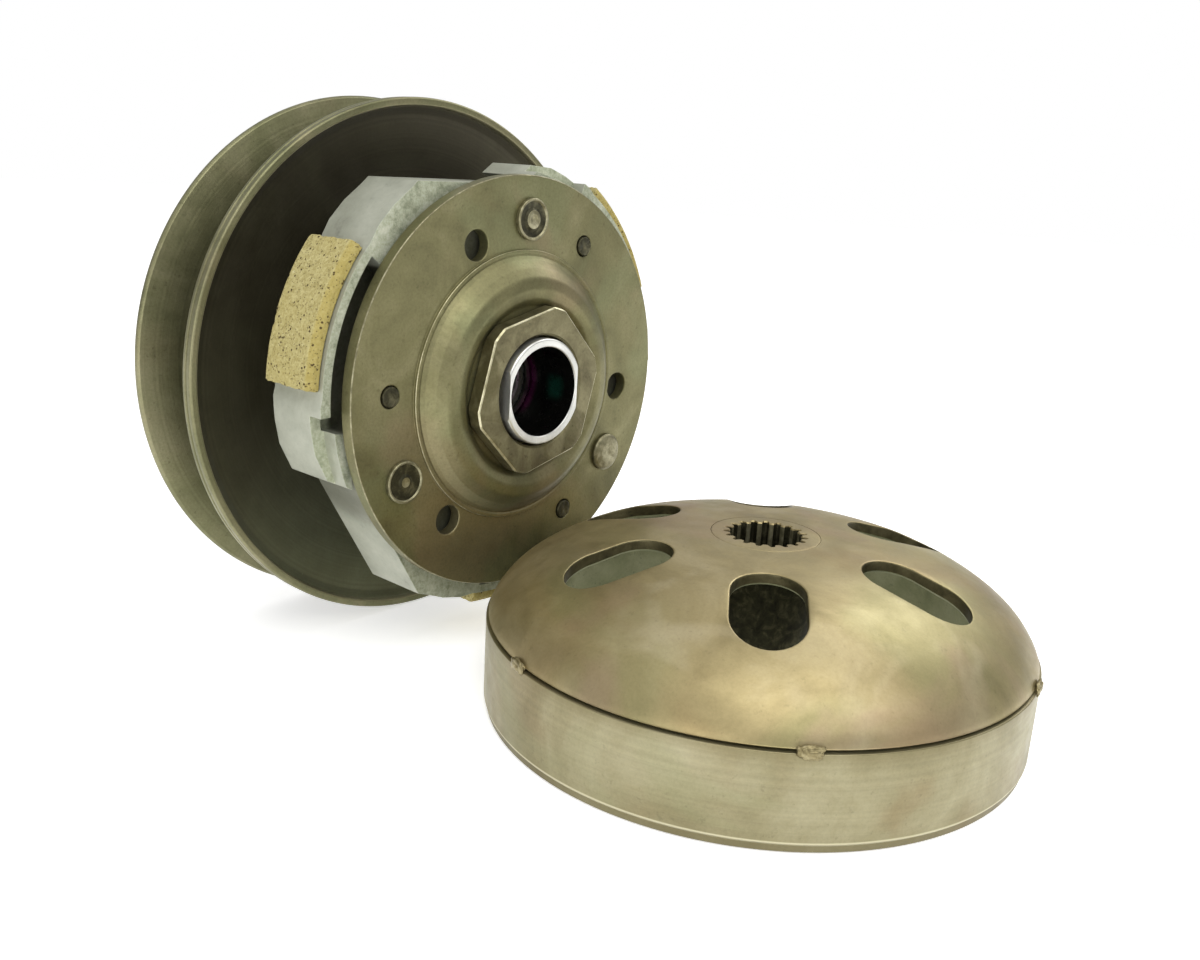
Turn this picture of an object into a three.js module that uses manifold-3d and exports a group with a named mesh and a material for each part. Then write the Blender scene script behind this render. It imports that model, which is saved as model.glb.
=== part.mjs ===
// Driven pulley and centrifugal clutch of a scooter's belt drive, with its clutch bell.
// The pulley unit stands on its two sheave rims, its axis level along +X with the clutch end at +X.
// The bell lies beside it on its mouth. Units are millimetres, +Z is up, and the origin is the centre
// of the footprint of both pieces together.
import * as THREE from "three";
import { mergeVertices } from "three/addons/utils/BufferGeometryUtils.js";
import Module from "manifold-3d";

const wasm = await Module();
wasm.setup();

// ---------------------------------------------------------------- driving dimensions
const RIM_R = 70.5; // both sheaves
const RIM_SEG = 40; // rim facets, one of them flat on the surface
const AXIS_Z = RIM_R * Math.cos(Math.PI / RIM_SEG); // height of the pulley axis
const BELT_ANGLE = 13; // degrees, each belt face to the plane of the pulley
const TAN = Math.tan((BELT_ANGLE * Math.PI) / 180);
const HUB_R = 26; // where the belt faces start
const X_MOVABLE = -13.9; // belt face of the movable sheave at HUB_R
const X_FIXED = -14.3; // belt face of the fixed sheave at HUB_R
const SLEEVE_R = 20.6; // sleeve of the movable sheave
const TRAVEL = 12.5; // of the movable sheave, towards the clutch
const CAM_RAD_PER_MM = 0.0374; // twist of the movable sheave as it travels
const TUBE_R = 17.0; // hub tube, sliding part
const NOSE_R = 13.5; // threaded nose of the hub tube
const NOSE_X = 46.7; // front end of the hub tube
const NOSE_FLAT = 12.1; // half distance over the nose's two flats
const BORE_R = 11.4; // bore of the hub tube
const SHAFT_R = 7.5; // bore of the bearing's inner race
const PLATE_R = 52.7; // clutch carrier plate
const PLATE_X0 = 34.0;
const PLATE_X1 = 37.4;
const DOME_R = 34.4; // foot of the plate's dome
const NUT_AF = 39; // across flats
const NUT_X0 = 41.3;
const NUT_X1 = 45.5;
const PIVOT_PCR = 42.0; // pitch radius and first angle of the pivot pins
const PIVOT_A = 87.3;
const VENT_PCR = 39.1; // three holes through the plate
const VENT_A = 114;
const VENT_R = 3.75;
const STUD_PCR = 41.5; // three damper studs
const STUD_A = 57.7;
const SHOE_X0 = 14.2;
const SHOE_X1 = 32.8;
const LINING_R0 = 57.2;
const LINING_R1 = 60.2;
const LINING_A0 = 142;
const LINING_A1 = 176.5;
const LINING_X0 = 15.2;
const LINING_X1 = 31.8;
const SPRING_R = 27.3; // contra spring, mean radius and wire radius
const WIRE_R = 2.1;
const BELL_X = 104.0; // bell axis, from the front rim and from the pulley axis
const BELL_Y = 18.6;
const BELL_R = 65.8;
const BELL_BORE = 62.2;
const BELL_SEG = 42;
const BELL_RING_H = 21.9;
const BELL_WALL = 2.6;
const HUB_TOP = 43.9;
const SPLINE_N = 19;
const SPLINE_R0 = 8.5;
const SPLINE_R1 = 9.9;
const SLOT_PCR = 38.3;
const SLOT_HALF_L = 12.6;
const SLOT_HALF_W = 8.1;
const SLOT_A = 5;
const WELD_A = 12.8;

// ---------------------------------------------------------------- helpers
const rad = (d) => (d * Math.PI) / 180;
const polar = (r, deg) => [r * Math.cos(rad(deg)), r * Math.sin(rad(deg))];

// A closed geometry as a solid: vertices merged, empty triangles left out, faces turned outwards.
function solid(geometry) {
  const g = geometry.index ? geometry.toNonIndexed() : geometry.clone();
  g.deleteAttribute("normal");
  g.deleteAttribute("uv");
  const m = mergeVertices(g, 1e-4);
  const pos = m.attributes.position.array;
  const tri = [];
  for (let i = 0; i < m.index.count; i += 3) {
    const [a, b, c] = [m.index.array[i], m.index.array[i + 1], m.index.array[i + 2]];
    if (a !== b && b !== c && c !== a) tri.push(a, b, c);
  }
  const make = (t) =>
    new wasm.Manifold(
      new wasm.Mesh({ numProp: 3, vertProperties: new Float32Array(pos), triVerts: new Uint32Array(t) }),
    );
  let s = make(tri);
  if (s.volume() < 0) {
    const flipped = [];
    for (let i = 0; i < tri.length; i += 3) flipped.push(tri[i], tri[i + 2], tri[i + 1]);
    s = make(flipped);
  }
  return s;
}

function geometryOf(s) {
  const m = s.getMesh();
  const n = m.vertProperties.length / m.numProp;
  const p = new Float32Array(n * 3);
  for (let i = 0; i < n; i++)
    for (let k = 0; k < 3; k++) p[i * 3 + k] = m.vertProperties[i * m.numProp + k];
  const g = new THREE.BufferGeometry();
  g.setAttribute("position", new THREE.BufferAttribute(p, 3));
  g.setIndex(new THREE.BufferAttribute(new Uint32Array(m.triVerts), 1));
  g.computeVertexNormals();
  return g;
}

// Ring or disc about X from [x, r] points; phase turns it by part of a segment.
function latheX(points, seg, phase = 0) {
  const g = new THREE.LatheGeometry(
    [...points, points[0]].map(([x, r]) => new THREE.Vector2(r, x)),
    seg,
  );
  g.rotateZ(-Math.PI / 2);
  g.rotateX((phase * 2 * Math.PI) / seg);
  return solid(g);
}

// Ring or disc about Z from [r, z] points.
function latheZ(points, seg, phase = 0) {
  const g = new THREE.LatheGeometry(
    [...points, points[0]].map(([r, z]) => new THREE.Vector2(r, z)),
    seg,
  );
  g.rotateX(Math.PI / 2);
  g.rotateZ((phase * 2 * Math.PI) / seg);
  return solid(g);
}

// Outline in [y, z] points extruded from x0 to x1.
function prismX(outline, x0, x1, holes = []) {
  const shape = new THREE.Shape(outline.map(([a, b]) => new THREE.Vector2(a, b)));
  for (const h of holes) shape.holes.push(new THREE.Path(h.map(([a, b]) => new THREE.Vector2(a, b))));
  const g = new THREE.ExtrudeGeometry(shape, { depth: x1 - x0, bevelEnabled: false, steps: 1 });
  g.applyMatrix4(
    new THREE.Matrix4().makeBasis(
      new THREE.Vector3(0, 1, 0),
      new THREE.Vector3(0, 0, 1),
      new THREE.Vector3(1, 0, 0),
    ),
  );
  g.translate(x0, 0, 0);
  return solid(g);
}

// Outline in [x, y] points extruded from z0 to z1.
function prismZ(outline, z0, z1) {
  const shape = new THREE.Shape(outline.map(([a, b]) => new THREE.Vector2(a, b)));
  const g = new THREE.ExtrudeGeometry(shape, { depth: z1 - z0, bevelEnabled: false, steps: 1 });
  g.translate(0, 0, z0);
  return solid(g);
}

const circle = (cy, cz, r, n, phase = 0) =>
  Array.from({ length: n }, (_, i) => {
    const a = ((i + phase) * 2 * Math.PI) / n;
    return [cy + r * Math.cos(a), cz + r * Math.sin(a)];
  });

function arc(cy, cz, r, a0, a1, n) {
  return Array.from({ length: n + 1 }, (_, i) => {
    const a = rad(a0 + ((a1 - a0) * i) / n);
    return [cy + r * Math.cos(a), cz + r * Math.sin(a)];
  });
}

// Long round-ended hole between two points.
function obround(p, q, r, n) {
  const a = (Math.atan2(q[1] - p[1], q[0] - p[0]) * 180) / Math.PI;
  return [...arc(q[0], q[1], r, a - 90, a + 90, n), ...arc(p[0], p[1], r, a + 90, a + 270, n)];
}

const turned = (s, deg) => s.rotate([deg, 0, 0]);

const material = (color, roughness, metalness) =>
  new THREE.MeshStandardMaterial({ color, roughness, metalness });
const STEEL_DARK = material(0x7d7658, 0.42, 0.85);
const STEEL_SHEAVE = material(0x6f6a50, 0.4, 0.85);
const STEEL_BRIGHT = material(0xc9c8c0, 0.28, 0.95);
const STEEL_BELL = material(0xa79d7c, 0.45, 0.85);
const CAST_ALU = material(0xaeb4a6, 0.6, 0.7);
const LINING = material(0xc8b878, 0.95, 0.0);
const RUBBER = material(0x1c1c1a, 0.85, 0.0);
const SPRING_STEEL = material(0x6a6a64, 0.35, 0.9);

const root = new THREE.Group();
const unit = new THREE.Group(); // pulley unit: local X is the axis, local origin on the axis in the front rim's plane
const bell = new THREE.Group(); // bell: local Z is its axis, local origin at its mouth

function put(group, name, s, mat) {
  const mesh = new THREE.Mesh(geometryOf(s), mat);
  mesh.name = name;
  group.add(mesh);
}

// ---------------------------------------------------------------- sheaves
const xMov = (r) => X_MOVABLE + TAN * (r - HUB_R);
const xFix = (r) => X_FIXED - TAN * (r - HUB_R);

put(
  unit,
  "fixed_face",
  latheX(
    [
      [X_FIXED, TUBE_R + 0.3],
      [X_FIXED, HUB_R],
      [xFix(RIM_R - 0.5), RIM_R - 0.5],
      [xFix(RIM_R) - 0.5, RIM_R],
      [xFix(RIM_R) - 1.7, RIM_R],
      [xFix(RIM_R) - 1.7, RIM_R - 2.4],
      [xFix(66.5) - 2.3, 66.5],
      [xFix(31) - 2.6, 31],
      [-22.4, 27.5],
      [-22.4, TUBE_R + 0.3],
    ],
    RIM_SEG,
    0.5,
  ),
  STEEL_SHEAVE,
);

put(
  unit,
  "movable_face",
  latheX(
  [
    [X_MOVABLE, SLEEVE_R + 0.3],
    [X_MOVABLE, HUB_R],
    [xMov(RIM_R - 0.5), RIM_R - 0.5],
    [xMov(RIM_R) + 0.5, RIM_R],
    [-0.4, RIM_R],
    [0, RIM_R - 0.4],
    [0, RIM_R - 2.2],
    [-1.5, RIM_R - 2.6],
    [xMov(66) + 2.2, 66],
    [xMov(33.5) + 2.4, 33.5],
    [-8.2, 30.2],
    [-8.0, SLEEVE_R + 0.3],
  ],
  RIM_SEG,
  0.5,
  ),
  STEEL_SHEAVE,
);
// the movable sheave's sleeve, with three cam slots that wind round it
let sleeve = latheX(
  [
    [X_MOVABLE, TUBE_R + 0.35],
    [X_MOVABLE, SLEEVE_R],
    [15, SLEEVE_R],
    [15, TUBE_R + 0.35],
  ],
  RIM_SEG,
  0.5,
);
const PIN_X = 7.5;
const PIN_A = 30;
const ROLLER_R = 3.0;
for (let k = 0; k < 3; k++)
  for (let i = 0; i <= 5; i++) {
    const s = (i * TRAVEL) / 5;
    const c = new THREE.CylinderGeometry(ROLLER_R + 0.8, ROLLER_R + 0.8, 7.5, 8);
    c.translate(PIN_X - s, 18.8, 0);
    c.rotateX(rad(PIN_A + 120 * k) - CAM_RAD_PER_MM * s);
    sleeve = sleeve.subtract(solid(c));
  }
put(unit, "movable_sleeve", sleeve, STEEL_BRIGHT);

// ---------------------------------------------------------------- hub tube and what it holds
let tube = latheX(
  [
    [-24.2, 12.3],
    [-24.2, TUBE_R - 0.6],
    [-23.6, TUBE_R],
    [37.6, TUBE_R],
    [37.6, NOSE_R],
    [NOSE_X - 0.7, NOSE_R],
    [NOSE_X, NOSE_R - 0.6],
    [NOSE_X, BORE_R],
    [-7.4, BORE_R],
    [-7.4, 12.3],
  ],
  32,
  0.5,
);
for (const side of [-1, 1])
  tube = tube.subtract(
    prismX(
      [
        [side * NOSE_FLAT, -16],
        [side * 20, -16],
        [side * 20, 16],
        [side * NOSE_FLAT, 16],
      ],
      38,
      NOSE_X + 2,
    ),
  );
put(unit, "hub_tube", tube, STEEL_BRIGHT);

for (let k = 0; k < 3; k++) {
  const pin = new THREE.CylinderGeometry(1.7, 1.7, 3.1, 8);
  pin.translate(PIN_X, TUBE_R + 0.3 + 1.55, 0);
  pin.rotateX(rad(PIN_A + 120 * k));
  put(unit, "guide_pin_" + (k + 1), solid(pin), STEEL_BRIGHT);
  const roller = new THREE.CylinderGeometry(ROLLER_R, ROLLER_R, 2.6, 10);
  const hole = new THREE.CylinderGeometry(2.1, 2.1, 5, 10);
  for (const g of [roller, hole]) {
    g.translate(PIN_X, TUBE_R + 0.6 + 1.3, 0);
    g.rotateX(rad(PIN_A + 120 * k));
  }
  put(unit, "guide_roller_" + (k + 1), solid(roller).subtract(solid(hole)), STEEL_BRIGHT);
}

put(unit, "needle_bearing", latheX([[-21.2, 9], [-21.2, 11.95], [-8, 11.95], [-8, 9]], 20), STEEL_BRIGHT);
put(
  unit,
  "oil_seal",
  latheX([[-24, 9.1], [-24, 11.95], [-21.6, 11.95], [-21.6, 9.6]], 20),
  RUBBER,
);
put(unit, "bearing_outer_race", latheX([[20, 9.9], [20, 11.05], [29, 11.05], [29, 9.9]], 20), STEEL_BRIGHT);
put(unit, "bearing_cage", latheX([[21.5, 8.75], [21.5, 9.6], [27.5, 9.6], [27.5, 8.75]], 20), STEEL_DARK);
put(unit, "bearing_inner_race", latheX([[20, SHAFT_R], [20, 8.45], [29, 8.45], [29, SHAFT_R]], 20), STEEL_BRIGHT);
put(
  unit,
  "circlip",
  latheX([[29.4, 9.9], [29.4, 11.05], [30.4, 11.05], [30.4, 9.9]], 20).subtract(
    prismX([[-2.2, -14], [2.2, -14], [2.2, -7], [-2.2, -7]], 29, 31),
  ),
  SPRING_STEEL,
);

// ---------------------------------------------------------------- collar, seals and contra spring
put(
  unit,
  "seal_collar",
  latheX(
    [
      [-7.4, 21.9],
      [-7.4, 30.4],
      [-5.7, 30.8],
      [-5.7, 23.5],
      [15.6, 23.5],
      [15.6, 21.9],
    ],
    28,
  ),
  STEEL_DARK,
);
for (const [n, x] of [
  ["o_ring_front", 12.6],
  ["o_ring_rear", -5.2],
])
  put(
    unit,
    n,
    latheX([[x - 0.7, 20.95], [x - 0.5, 21.55], [x + 0.5, 21.55], [x + 0.7, 20.95]], 20),
    RUBBER,
  );
const SPRING_X0 = -5.3;
const SPRING_X1 = 31.9;
class SpringCurve extends THREE.Curve {
  getPoint(t, out = new THREE.Vector3()) {
    const turns = 5.1;
    const end = 1.0; // closed turns at each end
    const n = t * turns;
    const a = SPRING_X0 + WIRE_R;
    const b = SPRING_X1 - WIRE_R;
    const closed = 2 * WIRE_R + 0.4;
    const pitch = (b - a - 2 * closed * end) / (turns - 2 * end);
    let x;
    if (n < end) x = a + closed * n;
    else if (n > turns - end) x = b - closed * (turns - n);
    else x = a + closed * end + pitch * (n - end);
    const f = 2 * Math.PI * n;
    return out.set(x, SPRING_R * Math.cos(f), SPRING_R * Math.sin(f));
  }
}
const wire = new THREE.Shape(circle(0, 0, WIRE_R, 6, 0.5).map(([a, b]) => new THREE.Vector2(a, b)));
put(
  unit,
  "contra_spring",
  solid(
    new THREE.ExtrudeGeometry(wire, { steps: 54, extrudePath: new SpringCurve(), bevelEnabled: false }),
  ),
  SPRING_STEEL,
);
put(unit, "spring_seat", latheX([[32.3, 23.5], [32.3, 31.0], [33.6, 31.0], [33.6, 23.5]], 28), STEEL_BRIGHT);

// ---------------------------------------------------------------- clutch carrier plate, nut and fasteners
let plate = latheX(
  [
    [PLATE_X0, 31.8],
    [PLATE_X0, PLATE_R],
    [PLATE_X1 - 0.5, PLATE_R],
    [PLATE_X1, PLATE_R - 0.5],
    [PLATE_X1, DOME_R + 0.2],
    [PLATE_X1 + 0.6, DOME_R],
    [PLATE_X1 + 0.7, DOME_R - 0.9],
    [38.9, 32.1],
    [40.9, 30.2],
    [42.5, 27.9],
    [43.0, 25.0],
    [42.4, 22.6],
    [41.0, 21.2],
    [41.0, 13.9],
    [38.0, 13.9],
    [38.0, 20.6],
    [39.6, 24.8],
    [38.4, 27.9],
  ],
  40,
);
for (let k = 0; k < 3; k++) {
  plate = plate
    .subtract(prismX(circle(...polar(VENT_PCR, VENT_A + 120 * k), VENT_R, 14), 30, 42))
    .subtract(prismX(circle(...polar(PIVOT_PCR, PIVOT_A + 120 * k), 4.35, 12), 30, 42))
    .subtract(prismX(circle(...polar(STUD_PCR, STUD_A + 120 * k), 2.85, 10), 30, 42));
}
put(unit, "carrier_plate", plate, STEEL_DARK);

const hex = Array.from({ length: 6 }, (_, i) => polar(NUT_AF / 2 / Math.cos(Math.PI / 6), 14 + 60 * i));
put(
  unit,
  "hex_nut",
  prismX(hex, NUT_X0, NUT_X1)
    .intersect(
      latheX(
        [
          [NUT_X0, 0],
          [NUT_X0, 20.8],
          [NUT_X0 + 0.5, 21.5],
          [NUT_X1 - 0.6, 21.5],
          [NUT_X1, 20.5],
          [NUT_X1, 0],
        ],
        48,
      ),
    )
    .subtract(latheX([[NUT_X0 - 1, 0], [NUT_X0 - 1, 14.2], [NUT_X1 + 1, 14.2], [NUT_X1 + 1, 0]], 32)),
  STEEL_DARK,
);

for (let k = 0; k < 3; k++) {
  const [py, pz] = polar(PIVOT_PCR, PIVOT_A + 120 * k);
  const pin = latheX(
    [
      [11.6, 0],
      [11.6, 3.5],
      [12.0, 4.0],
      [12.4, 4.0],
      [12.4, 2.9],
      [13.6, 2.9],
      [13.6, 4.0],
      [37.7, 4.0],
      [37.7, 5.3],
      [38.4, 5.3],
      [38.9, 4.7],
      [38.6, 0],
    ],
    12,
  ).translate([0, py, pz]);
  put(unit, "pivot_pin_" + (k + 1), pin, STEEL_DARK);
  const clip = latheX([[12.7, 3.3], [12.7, 6.0], [13.3, 6.0], [13.3, 3.3]], 12)
    .subtract(prismX([[-1.9, 0], [1.9, 0], [1.9, 9], [-1.9, 9]], 12, 14))
    .rotate([PIVOT_A + 120 * k - 90, 0, 0])
    .translate([0, py, pz]);
  put(unit, "e_clip_" + (k + 1), clip, SPRING_STEEL);
  const [sy, sz] = polar(STUD_PCR, STUD_A + 120 * k);
  put(
    unit,
    "damper_stud_" + (k + 1),
    latheX(
      [
        [17, 0],
        [17, 2.5],
        [37.5, 2.5],
        [37.8, 2.1],
        [37.8, 0],
      ],
      10,
    ).translate([0, sy, sz]),
    STEEL_DARK,
  );
  put(
    unit,
    "damper_rubber_" + (k + 1),
    latheX([[17.4, 2.85], [17.4, 4.3], [33.2, 4.3], [33.2, 2.85]], 10).translate([0, sy, sz]),
    RUBBER,
  );
}

// ---------------------------------------------------------------- shoes, linings and return springs
const TABLE_R = LINING_R0 - 0.3;
const BOSS_R = 8.3;
const [BY, BZ] = polar(PIVOT_PCR, PIVOT_A);
const outline = [
  ...arc(BY, BZ, BOSS_R, -84, 90, 6), // boss round the pivot
  [-17, BZ + BOSS_R],
  [-30.4, BZ + BOSS_R - 0.05],
  polar(58.3, 123.5),
  polar(58.2, 130),
  polar(57.8, 136),
  polar(TABLE_R, 140.2),
  ...arc(0, 0, TABLE_R, 145, 178, 6),
  polar(57.4, 180),
  polar(57.4, 186),
  polar(57.2, 192),
  polar(55.8, 199.5),
  polar(52.6, 203),
  polar(51.8, 200),
  polar(50.8, 196.5),
  polar(44, 192),
  polar(36, 190),
  polar(33.2, 187),
  ...arc(0, 0, 33.4, 180, 98, 8),
];
// slot for the damper: the stud stands still while the shoe swings about its pivot
const SWING = 3; // degrees, outwards
const stud = polar(STUD_PCR, STUD_A + 120);
const moved = (() => {
  const a = rad(SWING + 0.6);
  const [dy, dz] = [stud[0] - BY, stud[1] - BZ];
  return [BY + dy * Math.cos(a) - dz * Math.sin(a), BZ + dy * Math.sin(a) + dz * Math.cos(a)];
})();
const POST_A = polar(46, 187.5); // spring post on the free end
const POST_B = polar(45, 104); // spring post on the pivot arm
const post = (p) => prismX(circle(p[0], p[1], 1.5, 7), 7.0, SHOE_X0 + 1);
let shoe = prismX(outline, SHOE_X0, SHOE_X1)
  .subtract(prismX(circle(BY, BZ, 4.5, 12), 10, 36))
  .subtract(prismX(obround(stud, moved, 4.8, 4), 10, 36))
  // pocket in the front behind the lining
  .subtract(
    prismX(
      [
        ...arc(0, 0, 54.6, 142.5, 186.5, 7),
        polar(50.5, 188),
        polar(38.5, 184),
        ...arc(0, 0, 37.3, 182, 147, 4),
        polar(41, 143),
      ],
      25.5,
      36,
    ),
  )
  // step along the front edge of the free end
  .subtract(
    prismX([...arc(0, 0, 62, 182.5, 206, 2), ...arc(0, 0, 54.0, 206, 182.5, 3)], 28.6, 36),
  )
  .add(post(POST_A))
  .add(post(POST_B));
const lining = latheX(
  [
    [LINING_X0, LINING_R0],
    [LINING_X0, LINING_R1 - 0.4],
    [LINING_X0 + 0.4, LINING_R1],
    [LINING_X1 - 1.4, LINING_R1],
    [LINING_X1, LINING_R1 - 1.6],
    [LINING_X1, LINING_R0],
  ],
  84,
).intersect(
  prismX(
    [polar(50, LINING_A0 + 0.8), polar(70, LINING_A0 - 0.3), polar(76, (LINING_A0 + LINING_A1) / 2), polar(70, LINING_A1 + 0.4), polar(50, LINING_A1 - 0.6)],
    0,
    40,
  ),
);

// Return spring between the free end of one shoe and the pivot arm of the next.
const NEXT_B = polar(45, 104 + 120);
const springLine = [NEXT_B[0] - POST_A[0], NEXT_B[1] - POST_A[1]];
const gap = Math.hypot(...springLine);
const COIL_R = 2.4;
const coilPoints = [[0, 0]];
const BUMPS = 5;
const coilFrom = 4.6;
const coilTo = gap - 4.6;
coilPoints.pop();
coilPoints.push([coilFrom, 0], [coilFrom, COIL_R - 0.7]);
for (let i = 0; i < BUMPS; i++) {
  const w = (coilTo - coilFrom) / BUMPS;
  coilPoints.push([coilFrom + (i + 0.5) * w, COIL_R], [coilFrom + (i + 1) * w, COIL_R - 0.7]);
}
coilPoints.push([coilTo, 0]);
const eye = (at) =>
  new wasm.Manifold(
    (() => {
      const g = new THREE.TorusGeometry(2.6, 0.6, 4, 9);
      g.translate(at, 0, 0);
      return solid(g).getMesh();
    })(),
  );
// built along local X in the XY plane, with the eyes' holes along local Z
const hookBar = (a, b) => {
  const g = new THREE.CylinderGeometry(0.6, 0.6, b - a, 5);
  g.rotateZ(Math.PI / 2);
  g.translate((a + b) / 2, 0, 0);
  return solid(g);
};
let coil = latheX(coilPoints, 7)
  .add(eye(0))
  .add(eye(gap))
  .add(hookBar(2.4, coilFrom + 0.6))
  .add(hookBar(coilTo - 0.6, gap - 2.4));
// local X -> along the line of the posts in the YZ plane, local Z -> pulley X
const u = new THREE.Vector3(0, springLine[0] / gap, springLine[1] / gap);
const w = new THREE.Vector3(1, 0, 0);
const v = new THREE.Vector3().crossVectors(w, u);
const place = new THREE.Matrix4().makeBasis(u, v, w).setPosition(9.0, POST_A[0], POST_A[1]);
coil = coil.transform(place.elements);

for (let k = 0; k < 3; k++) {
  put(unit, "clutch_shoe_" + (k + 1), turned(shoe, 120 * k), CAST_ALU);
  put(unit, "lining_" + (k + 1), turned(lining, 120 * k), LINING);
  put(unit, "return_spring_" + (k + 1), turned(coil, 120 * k), SPRING_STEEL);
}

// ---------------------------------------------------------------- clutch bell
const face = [
  [13.0, HUB_TOP - 0.1],
  [25, 43.1],
  [35, 41.6],
  [45, 38.7],
  [53, 34.9],
  [59.5, 30.2],
  [63.6, 25.6],
  [65.3, 22.2],
];
const inner = [
  [62.6, 22.2],
  [57.2, 28.6],
  [43.6, 36.0],
  [30.0, 39.6],
  [13.0, HUB_TOP - 0.1 - BELL_WALL],
];
let bellFace = latheZ([...face, ...inner], BELL_SEG, 0.5);
let bellRing = latheZ(
  [
    [BELL_BORE, 0],
    [BELL_R - 0.5, 0],
    [BELL_R - 0.5, 1.9],
    [BELL_R, 2.3],
    [BELL_R, BELL_RING_H - 0.5],
    [BELL_R - 0.5, BELL_RING_H],
    [BELL_BORE, BELL_RING_H],
  ],
  BELL_SEG,
  0.5,
);
for (let k = 0; k < 6; k++) {
  const a = SLOT_A + 60 * k;
  bellFace = bellFace.subtract(
    prismZ(
      obround(polar(SLOT_PCR - SLOT_HALF_L + SLOT_HALF_W, a), polar(SLOT_PCR + SLOT_HALF_L - SLOT_HALF_W, a), SLOT_HALF_W, 5),
      20,
      50,
    ),
  );
}
const bead = (() => {
  const g = new THREE.IcosahedronGeometry(1, 1);
  g.scale(0.95, 3.2, 1.9);
  g.translate(BELL_R + 0.2, 0, BELL_RING_H + 0.1);
  return solid(g);
})();
// a shallow notch over the seam takes each weld bead
const notch = (() => {
  const g = new THREE.BoxGeometry(4, 7.4, 4.6);
  g.translate(BELL_R + 0.9, 0, BELL_RING_H + 0.1);
  return solid(g);
})();
for (let k = 0; k < 6; k++) {
  const cut = notch.rotate([0, 0, WELD_A + 60 * k]);
  bellFace = bellFace.subtract(cut);
  bellRing = bellRing.subtract(cut);
}
put(bell, "bell_ring", bellRing, STEEL_BELL);
put(bell, "bell_face", bellFace, STEEL_BELL);
for (let k = 0; k < 6; k++)
  put(bell, "weld_bead_" + (k + 1), bead.rotate([0, 0, WELD_A + 60 * k]), STEEL_BELL);

const spline = [];
for (let i = 0; i < SPLINE_N; i++) {
  const step = 360 / SPLINE_N;
  const a = i * step;
  spline.push(
    polar(SPLINE_R0, a - 0.16 * step),
    polar(SPLINE_R0, a + 0.16 * step),
    polar(SPLINE_R1, a + 0.3 * step),
    polar(SPLINE_R1, a + 0.7 * step),
  );
}
put(
  bell,
  "bell_hub",
  latheZ(
    [
      [0, 13],
      [12.6, 13],
      [13.2, 13.6],
      [13.2, 40.9],
      [12.6, 41.1],
      [12.6, HUB_TOP],
      [0, HUB_TOP],
    ],
    28,
  ).subtract(prismZ(spline, 5, 50)),
  STEEL_BELL,
);

// ---------------------------------------------------------------- place both pieces about the footprint's centre
const X_LOW = xFix(RIM_R) - 1.7;
const X_HIGH = BELL_X + BELL_R * Math.cos(Math.PI / BELL_SEG);
const Y_LOW = -AXIS_Z;
const Y_HIGH = BELL_Y + BELL_R;
unit.position.set(0, 0, AXIS_Z);
bell.position.set(BELL_X, BELL_Y, 0);
const set = new THREE.Group();
set.add(unit, bell);
set.position.set(-(X_LOW + X_HIGH) / 2, -(Y_LOW + Y_HIGH) / 2, 0);
root.add(set);

export default root;
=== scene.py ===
import math

import bmesh
import bpy
import numpy as np
from mathutils import Matrix, Vector, noise
from mathutils.geometry import delaunay_2d_cdt


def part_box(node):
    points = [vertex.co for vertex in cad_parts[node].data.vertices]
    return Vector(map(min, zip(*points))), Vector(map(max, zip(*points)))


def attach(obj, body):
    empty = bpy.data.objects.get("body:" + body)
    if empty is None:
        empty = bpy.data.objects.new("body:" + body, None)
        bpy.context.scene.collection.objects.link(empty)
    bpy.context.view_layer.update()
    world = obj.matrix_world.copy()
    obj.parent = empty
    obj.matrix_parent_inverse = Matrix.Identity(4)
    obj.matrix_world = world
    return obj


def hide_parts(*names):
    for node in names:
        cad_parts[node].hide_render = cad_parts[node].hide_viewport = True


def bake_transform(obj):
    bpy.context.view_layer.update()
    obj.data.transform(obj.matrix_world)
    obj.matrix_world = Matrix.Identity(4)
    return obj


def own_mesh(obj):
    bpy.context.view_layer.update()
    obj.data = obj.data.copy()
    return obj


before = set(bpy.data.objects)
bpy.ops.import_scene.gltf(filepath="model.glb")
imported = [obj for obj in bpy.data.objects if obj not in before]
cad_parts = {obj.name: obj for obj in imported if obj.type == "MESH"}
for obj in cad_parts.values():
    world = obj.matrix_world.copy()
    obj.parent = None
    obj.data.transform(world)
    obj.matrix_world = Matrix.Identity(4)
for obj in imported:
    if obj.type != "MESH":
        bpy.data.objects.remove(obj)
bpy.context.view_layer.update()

MM = 0.001
rad = math.radians

# ------------------------------------------------------------------ the two axes, read from the frame
_lo, _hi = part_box("hub_tube")
PULLEY = Vector((_hi.x - 46.7 * MM, (_lo.y + _hi.y) / 2, (_lo.z + _hi.z) / 2))
_lo, _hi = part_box("bell_hub")
BELL = Vector(((_lo.x + _hi.x) / 2, (_lo.y + _hi.y) / 2, 0.0))


def polar(r, deg):
    return (r * math.cos(rad(deg)), r * math.sin(rad(deg)))


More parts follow.
